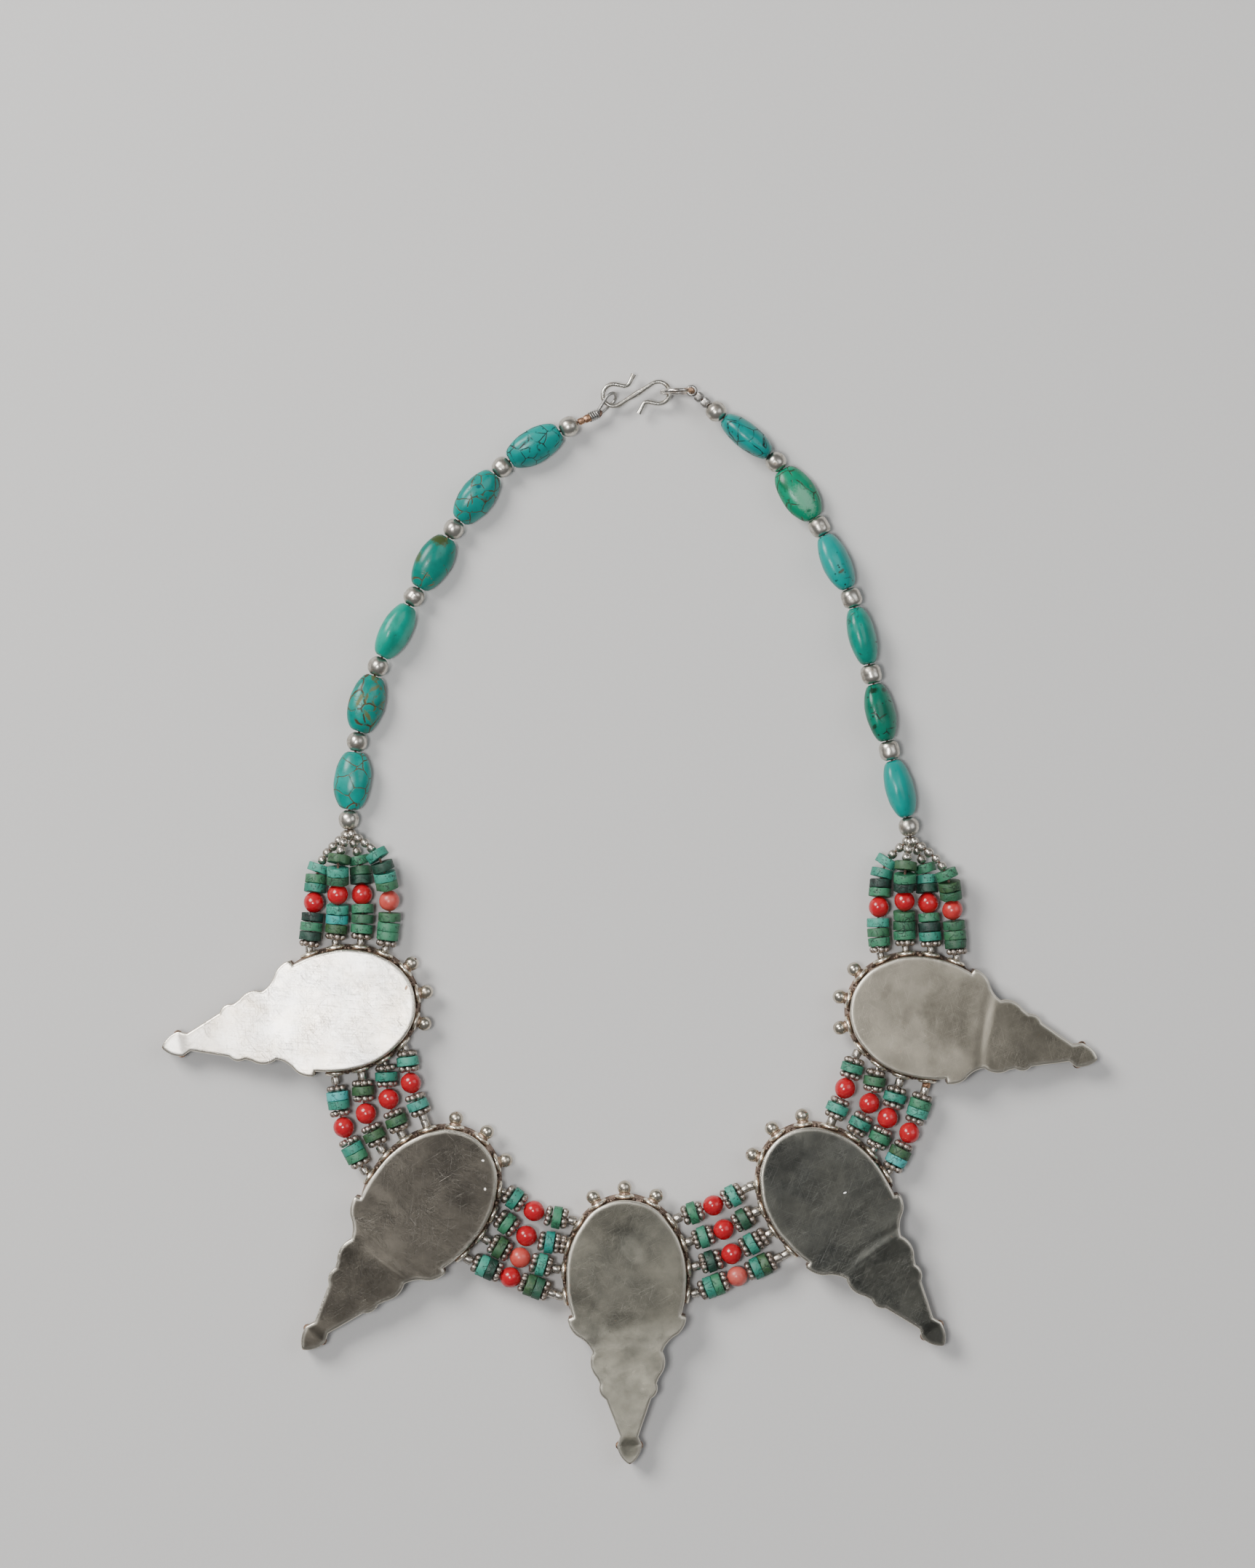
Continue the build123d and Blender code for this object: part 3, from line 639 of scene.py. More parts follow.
def plateOutline(length):
    # one side from the head's top to the tip, then the other side back
    plan = pendantPlan
    across = plan["headWidth"] / 2
    start = -plan["headCentre"] * length
    widest = (plan["headWidest"] - plan["headCentre"]) * length
    nose = plan["headNose"] * across
    reach = plan["headWidest"] * length
    side = (across ** 2 + reach ** 2 - 2 * reach * nose) / (2 * (across - nose))
    lean = math.atan2(side - across, reach - nose)
    half = arc((start + nose, 0), nose, math.pi, -lean, 46)
    half += arc((widest, across - side), side, math.pi - lean, lean - math.pi / 2, 36)[1:]
    here = half[-1]
    for along, aside, throughAlong, throughAside in outlineSteps:
        there = (start + along * length, aside * across)
        run = max(4, int(math.dist(here, there) / 0.45))
        if throughAlong is None:
            half += straight(here, there, run)
        else:
            half += arcThrough(here, (start + throughAlong * length, throughAside * across), there, run)
        here = there
    return np.array(half + [(x, -y) for x, y in reversed(half[1:-1])])


def sideWays(a, b):
    # the way out of each side of a loop
    way = b - a
    way = way / np.maximum(np.linalg.norm(way, axis=1), 1e-9)[:, None]
    return np.stack([-way[:, 1], way[:, 0]], 1)


def pushedOut(loop, reach):
    # the outline moved outwards: each point by the mean way of its two sides
    way = sideWays(np.roll(loop, 1, 0), loop) + sideWays(loop, np.roll(loop, -1, 0))
    way = way / np.maximum(np.linalg.norm(way, axis=1), 0.75)[:, None]
    return loop + way * reach


def edgeDistance(spots, loop):
    # distance of each spot to the closed outline, and whether it lies inside
    a, b = loop, np.roll(loop, -1, 0)
    way = b - a
    lengths = (way ** 2).sum(1)
    distance = np.full(len(spots), 1e9)
    inside = np.zeros(len(spots), bool)
    for start in range(0, len(spots), 2000):
        part = spots[start:start + 2000]
        share = np.clip(((part[:, None] - a) * way).sum(2) / lengths, 0, 1)
        gap = part[:, None] - (a + share[..., None] * way)
        distance[start:start + 2000] = np.sqrt((gap ** 2).sum(2)).min(1)
        crosses = (a[:, 1] > part[:, None, 1]) != (b[:, 1] > part[:, None, 1])
        with np.errstate(divide="ignore", invalid="ignore"):
            meets = a[:, 0] + (part[:, None, 1] - a[:, 1]) * way[:, 0] / way[:, 1]
        inside[start:start + 2000] = (crosses & (part[:, None, 0] < meets)).sum(1) % 2 == 1
    return distance, inside


def plateHeight(spots, distance, length, row):
    plan, look = pendantPlan, plateLook
    crease = (plan["crease"] - plan["headCentre"]) * length
    neck = (plan["spadeNeck"] - plan["headCentre"]) * length
    slope = math.tan(math.radians(plan["tailSlope"]))
    x, y = spots[:, 0], spots[:, 1]
    beyond = x - crease - math.tan(math.radians(row["turn"])) * y - look["creaseBow"] * y ** 2
    height = plan["headDepth"] + look["lift"]
    height -= slope * look["softness"] * np.logaddexp(0, beyond / look["softness"])
    for share, place, width in look["folds"]:
        height += share * row["groove"] * np.exp(-((beyond - place) / width) ** 2)
    height -= row["spadeDrop"] * np.clip((x - neck) / look["spadeRun"], 0, 1) ** 1.5
    roll = np.clip(1 - distance / look["roll"], 0, 1)
    height -= look["rollDepth"] * (1 - np.sqrt(1 - np.minimum(roll ** 2, 1)))
    for number, (across, aside) in enumerate(spots):
        for shift, depth, size in ((0, "dent", "dentSize"), (5, "fineDent", "fineDentSize")):
            spot = Vector((across / look[size], aside / look[size], row["seed"] + shift))
            height[number] += look[depth] * noise.noise(spot)
    solid = plan["headDepth"] - slope * np.clip(x - crease, 0, None)
    edge = np.clip((distance - look["overhang"]) / 0.1, -1, 1)
    return np.maximum(height, solid + look["cover"] * edge)


def makePlate(number):
    row, look = plateRows[number], plateLook
    length = pendantRows[number][3]
    loop = plateOutline(length)
    wobble = look["handCut"] * np.array([
        noise.noise(Vector((x / look["cutSize"], y / look["cutSize"], row["seed"]))) for x, y in loop
    ])
    loop = pushedOut(loop, look["overhang"])
    loop = loop + loop / np.maximum(np.linalg.norm(loop, axis=1), 1e-9)[:, None] * wobble[:, None]
    tip = (1 - pendantPlan["headCentre"]) * length
    loop[:, 0] = np.minimum(loop[:, 0], tip)
    count = len(loop)
    # the top's points: the loop, rings within it and a grid of triangles
    spots = [loop]
    for inset in look["insets"]:
        ring = pushedOut(loop, -inset)
        distance, inside = edgeDistance(ring, loop)
        spots.append(ring[inside & (distance > look["insetShare"] * inset)])
    step = look["gridStep"]
    low, high = loop.min(0), loop.max(0)
    grid = np.array([
        (x + (step / 2 if line % 2 else 0), y)
        for line, y in enumerate(np.arange(low[1], high[1], step * look["rowStep"]))
        for x in np.arange(low[0], high[0], step)
    ])
    distance, inside = edgeDistance(grid, loop)
    spots.append(grid[inside & (distance > look["gridMargin"])])
    edges = [(corner, (corner + 1) % count) for corner in range(count)]
    flat, _, faces, origin, _, _ = delaunay_2d_cdt(
        [Vector(spot) for spot in np.concatenate(spots)], edges, [], 1, 1e-5)
    flat = np.array([tuple(spot) for spot in flat])
    distance, _ = edgeDistance(flat, loop)
    height = plateHeight(flat, distance, length, row)
    points = [Vector((x, y, z)) for (x, y), z in zip(flat, height)]
    topFaces = [tuple(face) for face in faces]
    faces = list(topFaces)
    sourceCorner = {source: corner for corner, sources in enumerate(origin) for source in sources}
    rim = [sourceCorner[corner] for corner in range(count)]
    # the edge goes down and a little way in, and a flat cap inside the solid closes it
    previous = rim
    for reach, fall in look["rimLevels"]:
        level = pushedOut(loop, reach)
        level[:, 0] = np.minimum(level[:, 0], tip)
        start = len(points)
        points += [Vector((x, y, z - fall)) for (x, y), z in zip(level, height[rim])]
        for corner in range(count):
            after = (corner + 1) % count
            faces.append((previous[corner], previous[after], start + after, start + corner))
        previous = list(range(start, start + count))
    under = dict(zip(rim, previous))
    for corner in range(len(flat)):
        if corner not in under:
            under[corner] = len(points)
            points.append(points[corner] - Vector((0, 0, look["rimBottom"])))
    faces += [tuple(under[corner] for corner in reversed(face)) for face in topFaces]
    name = f"plate_{number + 1}"
    mesh = newMesh(name, moved((points, faces), pendantPlace(number)), look["sharp"], boxed=True)
    wear = list(np.exp(-(distance / look["edgeWear"]) ** 2))
    wear += [look["rimWear"]] * (len(points) - len(wear))
    mesh.attributes.new("edgeWear", "FLOAT", "POINT").data.foreach_set("value", wear)
    return newObject(name, mesh)


# finishes of the metal

plateTonesWithReflection = [
    # bright and dark colour, share of dark, scratches, roughness, metal, tail against head, seed; how bright
    # each plate's two colours are, near white on the first, is a painted reflection, and the tail's factor is
    # painted light for its other slope
    ((1.0, 0.97, 0.92), (0.76, 0.645, 0.50), 0.42, 0.90, 0.32, 0.95, 1.00, 1.0),
    ((0.064, 0.057, 0.046), (0.025, 0.022, 0.018), 0.60, 1.00, 0.36, 0.96, 1.55, 2.3),
    ((0.128, 0.120, 0.096), (0.044, 0.043, 0.036), 0.55, 0.70, 0.38, 0.96, 3.90, 3.1),
    ((0.068, 0.067, 0.057), (0.023, 0.024, 0.022), 0.60, 0.75, 0.34, 0.96, 1.60, 4.7),
    ((0.262, 0.238, 0.190), (0.137, 0.125, 0.100), 0.50, 0.60, 0.40, 0.96, 0.56, 5.9),
]


def plateFinish(number):
    # painted reflection: the two colours give each plate the brightness of what it reflects, and the tail's
    # factor paints light for its slope
    light, dark, share, scratched, rough, metal, tailShade, seed = plateTonesWithReflection[number]
    x, y, tail, _ = pendantRows[number]
    f = Finish(f"scratchedSilver{number + 1}")
    big = f.cloud(13, 3, 0.55, 0.4, shift=seed)
    small = f.cloud(3.2, 4, 0.62, 0.2, shift=seed + 7)
    mottle = big * 0.68 + small * 0.32
    middle = 0.32 + 0.36 * share
    colour = f.mixed(mottle.fall(middle - 0.17, middle + 0.15), light, dark)
    # the tail against the head: painted light for the tail's other slope
    along = f.value("ShaderNodeSeparateXYZ", {"Vector": f.mapped((x, y, 0), tail, (1, 1, 1))})
    onTail = (along - plateLook["tailFrom"]).worked("DIVIDE", plateLook["tailRun"], True)
    colour = f.dimmed(onTail, colour, tailShade)
    # fine scratches in four directions
    scratches = None
    for turn, wide, run, lineSeed in plateLook["scratches"]:
        vector = f.mapped((lineSeed * 9, 0, 0), turn + tail, (run, wide, 8.0))
        lines = f.cloud(1, 2, 0.6, 0.35, vector, lineSeed + seed).rise(0.585, 0.655)
        scratches = scratches.worked("MAXIMUM", lines) if scratches else lines
    scratches *= f.cloud(8, 2, 0.5, shift=seed + 3).steps((0.35, 0.15), (0.65, 1.0))
    # clouds of darker and lighter tone; the bands along the creases are painted highlight and painted shade,
    # and the spades' tones painted reflection
    for _, cloudX, cloudY, long, wide, turn, factor in (row for row in plateCloudsWithPaintedLight if row[0] == number):
        edge = (mottle - 0.5) * 1.8
        colour = f.dimmed(f.spot((cloudX, cloudY), (long, wide), turn, edge, 0.45, 1.0), colour, factor)
    # light scratches, and dark ones on the first plate, whose near-white colour is a painted reflection
    bright = tuple(min(1.0, part * 1.35 + 0.04) for part in light)
    scored = plateLook["scored"] if number == 0 else bright
    colour = f.mixed(scratches * (0.45 * scratched), colour, scored)
    # small brown stains, and the marks that stand out
    stain = f.cloud(2.0, 3, 0.7, 0.6, shift=seed + 11).rise(0.70, 0.78)
    colour = f.mixed(stain * 0.55, colour, (0.25, 0.15, 0.08))
    for _, markX, markY, long, wide, turn, shade, strength in (row for row in plateMarks if row[0] == number):
        mark = f.spot((markX, markY), (long, wide), turn, (small - 0.5) * 1.6, 0.70, 1.0)
        colour = f.mixed(mark * strength, colour, shade)
    worn = f.tone("edgeWear")
    colour = f.mixed(worn * 0.85, colour, plateLook["rimShade"])
    rough = mottle * 0.22 + (rough - 0.08) - worn * 0.12 - scratches * 0.05
    height = small * 0.6 - scratches * (0.5 * scratched) + f.cloud(0.35, 2, 0.7, shift=seed) * 0.25
    return f.shade(colour=colour, metal=metal, rough=rough, normal=f.relief(height, 0.035))


silverRows = {
    # bright and dark colour, size of the wear in mm, roughness, relief in mm, tarnish, bead's own tone, pits
    "tarnishedWall": ((0.42, 0.30, 0.23), (0.085, 0.052, 0.038), 2.2, 0.44, 0.16, 0.52, False, 0.5),
    "ringSilver": ((0.86, 0.79, 0.66), (0.42, 0.30, 0.22), 1.8, 0.26, 0.02, 0.16, False, 0.5),
    "ballSilver": ((0.60, 0.55, 0.46), (0.30, 0.24, 0.18), 2.4, 0.24, 0.01, 0.26, False, 0.0),
    "pittedGranules": ((0.60, 0.53, 0.47), (0.13, 0.09, 0.07), 0.9, 0.30, 0.05, 0.50, True, 0.5),
    "wornBeadSilver": ((0.60, 0.57, 0.51), (0.24, 0.20, 0.16), 1.7, 0.28, 0.02, 0.30, True, 0.2),
    "seedSilver": ((0.62, 0.58, 0.52), (0.22, 0.18, 0.14), 1.3, 0.26, 0.025, 0.34, True, 0.5),
    "hookSilver": ((0.58, 0.56, 0.51), (0.22, 0.19, 0.15), 2.2, 0.24, 0.02, 0.34, False, 0.5),
    "greySilver": ((0.46, 0.45, 0.43), (0.16, 0.145, 0.13), 1.6, 0.32, 0.03, 0.40, False, 0.5),
    "brownCopper": ((0.62, 0.36, 0.22), (0.13, 0.07, 0.045), 1.2, 0.34, 0.05, 0.45, False, 0.5),
    "brownCollar": ((0.50, 0.36, 0.27), (0.12, 0.075, 0.055), 1.2, 0.38, 0.05, 0.42, False, 0.5),
    "darkBorder": ((0.30, 0.22, 0.17), (0.045, 0.032, 0.026), 1.2, 0.42, 0.08, 0.62, True, 0.5),
}


def wornSilver(name):
    light, dark, size, rough, depth, tarnish, toned, pitting = silverRows[name]
    f = Finish(name)
    wear = f.cloud(size, 4, 0.65, 0.3)
    edge = 0.30 + 0.34 * tarnish
    share = wear.fall(edge - 0.10, edge + 0.12)
    colour = f.mixed(share, light, dark)
    if toned:
        colour = f.mixed(f.tone() * 0.45, colour, tuple(part * 0.62 for part in light))
    height = wear * 0.7 + f.cells(size * 0.32).rise(0.10, 0.42) * pitting
    return f.shade(colour=colour, metal=0.97, rough=share * 0.24 + rough, normal=f.relief(height, depth))


silver = {name: wornSilver(name) for name in silverRows}
for number in range(5):
    finishPiece(makePlate(number), plateFinish(number), "tarnished_silver")
    giveFinish(f"pendant_case_{number + 1}", silver["tarnishedWall"])
print("plates made:", len(plateRows))


# stone finishes

barrelColumns = (
    "turn", "roll", "light", "deep", "pale", "matrix", "patch", "mesh", "line", "crackle", "blotch", "spots",
    "seed",
)
barrelRows = {
    # way of the bore and roll in degrees, bright, deep and pale stone, matrix lines, blotches, size of the
    # cells and share of it that the lines fill, shares of cracks, blotches and spots, seed
    "left_6": (84.2, 0.0, (0.0, 0.268, 0.231), (0.0, 0.172, 0.142), (0.037, 0.336, 0.274),
        (0.088, 0.047, 0.019), (0.12, 0.1, 0.03), 4.0, 0.037, 0.85, 0.25, 0.2, 1.0),
    "left_5": (74.5, 23.5, (0.0, 0.245, 0.205), (0.0, 0.147, 0.122), (0.02, 0.318, 0.25),
        (0.055, 0.033, 0.011), (0.11, 0.085, 0.02), 5.3, 0.05, 0.9, 0.85, 0.2, 2.2),
    "left_4": (62.1, 56.7, (0.0, 0.332, 0.245), (0.0, 0.207, 0.148), (0.028, 0.441, 0.321),
        (0.017, 0.055, 0.039), (0.06, 0.12, 0.05), 7.1, 0.025, 0.35, 0.15, 0.1, 3.4),
    "left_3": (59.9, 29.1, (0.0, 0.207, 0.161), (0.0, 0.135, 0.105), (0.017, 0.268, 0.198),
        (0.077, 0.044, 0.017), (0.17, 0.1, 0.035), 6.5, 0.03, 0.5, 0.55, 0.2, 4.1),
    "left_2": (53.0, 34.0, (0.0, 0.252, 0.217), (0.0, 0.171, 0.15), (0.024, 0.315, 0.257),
        (0.072, 0.039, 0.011), (0.13, 0.09, 0.03), 3.6, 0.043, 0.95, 0.35, 0.3, 5.3),
    "left_1": (30.3, 34.0, (0.0, 0.261, 0.233), (0.0, 0.166, 0.154), (0.02, 0.34, 0.283),
        (0.011, 0.019, 0.017), (0.04, 0.08, 0.05), 3.7, 0.04, 0.8, 0.3, 0.6, 6.6),
    "right_6": (105.5, 60.9, (0.0, 0.275, 0.243), (0.0, 0.22, 0.193), (0.031, 0.341, 0.289),
        (0.028, 0.099, 0.088), (0.1, 0.3, 0.24), 7.8, 0.02, 0.2, 0.1, 0.1, 7.2),
    "right_5": (103.1, 56.7, (0.0, 0.172, 0.108), (0.0, 0.1, 0.059), (0.012, 0.235, 0.157),
        (0.007, 0.017, 0.011), (0.03, 0.1, 0.05), 6.8, 0.03, 0.5, 0.25, 1.0, 8.5),
    "right_4": (104.1, 70.6, (0.0, 0.261, 0.197), (0.0, 0.166, 0.122), (0.02, 0.34, 0.25),
        (0.017, 0.039, 0.028), (0.05, 0.12, 0.06), 8.1, 0.03, 0.55, 0.2, 0.2, 9.4),
    "right_3": (114.3, 60.9, (0.0, 0.285, 0.254), (0.0, 0.218, 0.197), (0.021, 0.352, 0.299),
        (0.008, 0.028, 0.028), (0.03, 0.1, 0.08), 5.6, 0.025, 0.3, 0.15, 0.9, 10.1),
    "right_2": (123.3, 16.5, (0.0, 0.239, 0.127), (0.0, 0.164, 0.083), (0.041, 0.317, 0.163),
        (0.028, 0.033, 0.017), (0.14, 0.2, 0.1), 4.3, 0.04, 0.7, 0.4, 0.3, 11.8),
    "right_1": (141.2, 81.7, (0.0, 0.242, 0.216), (0.0, 0.155, 0.149), (0.016, 0.317, 0.264),
        (0.006, 0.011, 0.011), (0.02, 0.06, 0.05), 4.0, 0.043, 0.85, 0.2, 0.7, 12.3),
}
barrelMarks = {
    # place in mm, size along and across, turn in degrees, colour, strength
    "left_5": (
        (-67.2, 54.2, 4.6, 1.3, 60, (0.13, 0.12, 0.035), 0.85),
        (-65.2, 50.4, 3.8, 1.3, -60, (0.13, 0.12, 0.035), 0.85),
        (-63.5, 57.2, 3.4, 1.2, 30, (0.12, 0.12, 0.035), 0.8),
    ),
    "left_3": (
        (-47.2, 94.2, 6.0, 3.4, -20, (0.045, 0.06, 0.016), 0.95),
        (-52.6, 89.8, 3.4, 1.6, 70, (0.07, 0.08, 0.02), 0.75),
    ),
    "left_2": (
        (-37.5, 107.4, 1.6, 1.2, 20, (0.0, 0.07, 0.1), 0.9),
    ),
    "right_5": (
        (60.6, 56.6, 2.6, 1.6, 20, (0.006, 0.022, 0.01), 0.9),
        (63.4, 56.9, 1.6, 1.3, 0, (0.006, 0.022, 0.01), 0.85),
        (62.9, 50.2, 3.4, 0.6, 32, (0.01, 0.03, 0.014), 0.8),
        (60.9, 47.6, 1.8, 1.1, 60, (0.006, 0.022, 0.01), 0.8),
    ),
    "right_3": (
        (52.6, 86.3, 2.2, 1.0, 40, (0.06, 0.045, 0.015), 0.85),
    ),
    "right_2": (
        (43.6, 104.2, 9.5, 5.0, -58, (0.12, 0.34, 0.22), 0.85),
        (38.4, 108.0, 5.0, 2.2, -60, (0.0, 0.09, 0.035), 0.8),
        (44.6, 101.5, 1.6, 1.0, 20, (0.0, 0.1, 0.05), 0.8),
    ),
}


def barrelFinish(name, look):
    # crackled turquoise: dark matrix lines, brown or olive blotches and black spots
    f = Finish(f"turquoise_{name}Stone")
    seed = look["seed"]
    base = f.mixed(f.cloud(5.0, 3, 0.55, 0.4, shift=seed).rise(0.34, 0.66), look["light"], look["deep"])
    fine = f.cloud(0.55, 3, 0.7, shift=seed + 2)
    base = f.mixed(fine * 0.10, base, look["pale"])
    # the cracks run between cells whose places are bent by a cloud
    inputs = {"Vector": f.place, "Scale": 1 / (3.0 * mm), "Detail": 2.0, "W": seed}
    drift = f.value("ShaderNodeTexNoise", inputs, 1, noise_dimensions="4D")
    drift = f.value("ShaderNodeVectorMath", {0: drift, "Scale": 1.3 * mm}, operation="SCALE")
    bent = f.value("ShaderNodeVectorMath", {0: f.place, 1: drift}, operation="ADD")
    bent = f.value("ShaderNodeVectorMath", {0: bent, "Scale": 1 / (look["mesh"] * mm)}, operation="SCALE")
    least = 0.66 - 0.30 * look["crackle"]
    lines = f.cells(1, "DISTANCE_TO_EDGE", bent).fall(look["line"] * 0.35, look["line"])
    lines *= f.cloud(3.0, 3, 0.6, 0.5, shift=seed + 5).rise(least, least + 0.10)
    base = f.mixed(lines, base, look["matrix"])
    blotch = f.cloud(3.0, 4, 0.62, 0.8, shift=seed + 9)
    blotch = blotch.rise(0.74 - 0.24 * look["blotch"], 0.80 - 0.22 * look["blotch"])
    base = f.mixed(blotch * 0.85, base, look["patch"])
    spots = f.cells(1.7, "F1", f.mapped((seed * 9, 0, 0), 20, (1.7, 1.7, 1.7))).fall(0.10, 0.19)
    base = f.mixed(spots * look["spots"], base, (0.012, 0.020, 0.018))
    for x, y, long, wide, turn, shade, strength in barrelMarks.get(name, ()):
        mark = f.spot((x, y), (long, wide), turn, (fine - 0.5) * 1.3, 0.55, 1.0)
        base = f.mixed(mark * strength, base, shade)
    hollow = lines * 0.8 + blotch * 0.5
    height = f.cloud(1.8, 3, 0.6, shift=seed) * 0.5 - hollow
    return f.shade(colour=base, rough=hollow * 0.25 + 0.30, normal=f.relief(height, 0.06), coat=0.12,
                   coatRough=0.22, shine=0.28)


def discFinish():
    # each bead's tone picks its colour, from pale and bright turquoise to nearly black green
    f = Finish("discTurquoise")
    body = f.tone().steps(
        (0.00, (0.020, 0.33, 0.31)), (0.16, (0.010, 0.16, 0.11)), (0.30, (0.045, 0.30, 0.22)),
        (0.44, (0.035, 0.080, 0.026)), (0.56, (0.035, 0.175, 0.085)), (0.70, (0.060, 0.40, 0.39)),
        (0.80, (0.026, 0.095, 0.042)), (0.90, (0.010, 0.038, 0.024)), (1.00, (0.005, 0.008, 0.008)),
    )
    drift = f.cloud(2.2, 4, 0.65, 0.5)
    colour = f.mixed(drift.rise(0.38, 0.66, 0.22), body, (0.07, 0.24, 0.17))
    shadow = f.cloud(1.3, 4, 0.7, 0.9).rise(0.54, 0.66)
    colour = f.mixed(shadow * 0.74, colour, (0.014, 0.056, 0.040))
    veins = f.cells(1.5, "DISTANCE_TO_EDGE").fall(0.02, 0.075) * f.cloud(2.6, 2, 0.5).rise(0.50, 0.58)
    colour = f.mixed(veins * 0.66, colour, (0.008, 0.018, 0.013))
    specks = f.cells(0.75).fall(0.16, 0.28) * f.cloud(1.9, 2, 0.5, shift=4.0).rise(0.42, 0.52)
    colour = f.mixed(specks * 0.9, colour, (0.008, 0.016, 0.014))
    height = f.cloud(0.6, 4, 0.7) - (veins + shadow * 0.6)
    return f.shade(colour=colour, rough=drift * 0.25 + 0.36, normal=f.relief(height, 0.07), shine=0.45)


def coralFinish():
    f = Finish("redCoral")
    tone = f.tone()
    body = tone.steps((0.0, (0.40, 0.004, 0.014)), (0.62, (0.48, 0.008, 0.018)),
                      (0.80, (0.56, 0.070, 0.055)), (1.0, (0.54, 0.125, 0.10)))
    grain = f.cloud(1.0, 3, 0.6, 0.4, f.mapped((0, 0, 0), 30, (2.6, 0.6, 0.6)))
    colour = f.mixed(grain.rise(0.42, 0.75, 0.40), body, (0.62, 0.060, 0.045))
    colour = f.mixed(f.cloud(2.4, 3, 0.6, 0.5, shift=3.0).rise(0.48, 0.72, 0.6), colour, (0.34, 0.006, 0.010))
    pores = f.cells(0.75).fall(0.07, 0.13) * f.cloud(2.2, 2, 0.5, shift=8.0).rise(0.52, 0.60)
    colour = f.mixed(pores * 0.7, colour, (0.12, 0.008, 0.008))
    return f.shade(colour=colour, rough=tone.rise(0.6, 0.9) * 0.22 + 0.20,
                   normal=f.relief(grain * 0.4 - pores, 0.03), coat=0.22, coatRough=0.18, subsurface=0.05,
                   bleed=(1.0, 0.25, 0.18), bleedScale=0.0008)


def inlayFinish():
    f = Finish("inlayBed")
    mottle = f.cloud(4.0, 4, 0.6, 0.4)
    chips = f.cells(3.4, "F1", f.mapped((0, 0, 0), 12, (3.4, 3.4, 3.4)), 1)
    grey = f.value("ShaderNodeSeparateColor", {0: chips})
    colour = f.mixed(grey.rise(0.15, 0.85), (0.05, 0.22, 0.19), (0.13, 0.34, 0.30))
    colour = f.mixed(mottle.rise(0.45, 0.70, 0.7), colour, (0.06, 0.045, 0.035))
    joints = f.cells(3.4, "DISTANCE_TO_EDGE").fall(0.03, 0.08)
    colour = f.mixed(joints, colour, (0.030, 0.022, 0.018))
    return f.shade(colour=colour, rough=0.42, normal=f.relief(mottle * 0.4 - joints, 0.08))


def threadFinish():
    f = Finish("waxedThread")
    strand = f.cloud(0.18, 3, 0.7, 0.5)
    colour = f.mixed(strand.rise(0.35, 0.70), (0.060, 0.030, 0.020), (0.17, 0.095, 0.060))
    return f.shade(colour=colour, rough=0.72, normal=f.relief(strand, 0.05), sheen=0.2)


# strung beads, set out by one node tree

discLook = {
    "variants": 7, "sides": 26, "chip": 0.26, "bow": 0.08, "swell": 0.10, "thicker": 0.08,
    "notch": 1.5, "notchTurn": 0.30, "wobble": 0.05, "warp": 0.06, "worn": 0.09, "wornMore": 0.08,
}
daisyLook = {
    "granules": 7, "granule": 0.90, "swell": 0.12, "lumps": 0.12, "uneven": 0.08, "sleeve": 1.45,
    "sleeveHalf": 0.55, "variants": 3,
}
coralLook = {
    "sides": 24, "rows": 12, "swell": 0.12, "shrink": 0.98, "lumps": 0.05, "coarse": 0.35, "variants": 2,
}
seedLook = {
    "length": 2.12, "fewest": 3, "bore": 0.36, "radius": 1.20, "radiusMore": 0.06, "half": 0.98,
    "halfMore": 0.13, "lumps": 0.07, "sides": 14, "variants": 3,
}
sleeveLook = {
    "length": 2.0, "longest": 1.22, "size": 1.5, "doubled": 0.94, "bore": 0.36, "end": 0.82, "radius": 0.98,
    "longer": 0.12, "flute": 0.86, "sides": 16,
}


def lumpy(points, amount, coarse, shift):
    # points pushed in and out by noise; shift tells one shape's noise from another's
    for point in points:
        point *= 1 + amount * noise.noise(point * coarse + Vector((0, 0, shift)))


def drilled(bore, side, *middle):
    # profile of a bead: the bore, one side from its end and the same side mirrored
    end = side[0][1]
    return [(bore, -end), (bore, end), *side, *middle, *[(reach, -along) for reach, along in side[::-1]]]


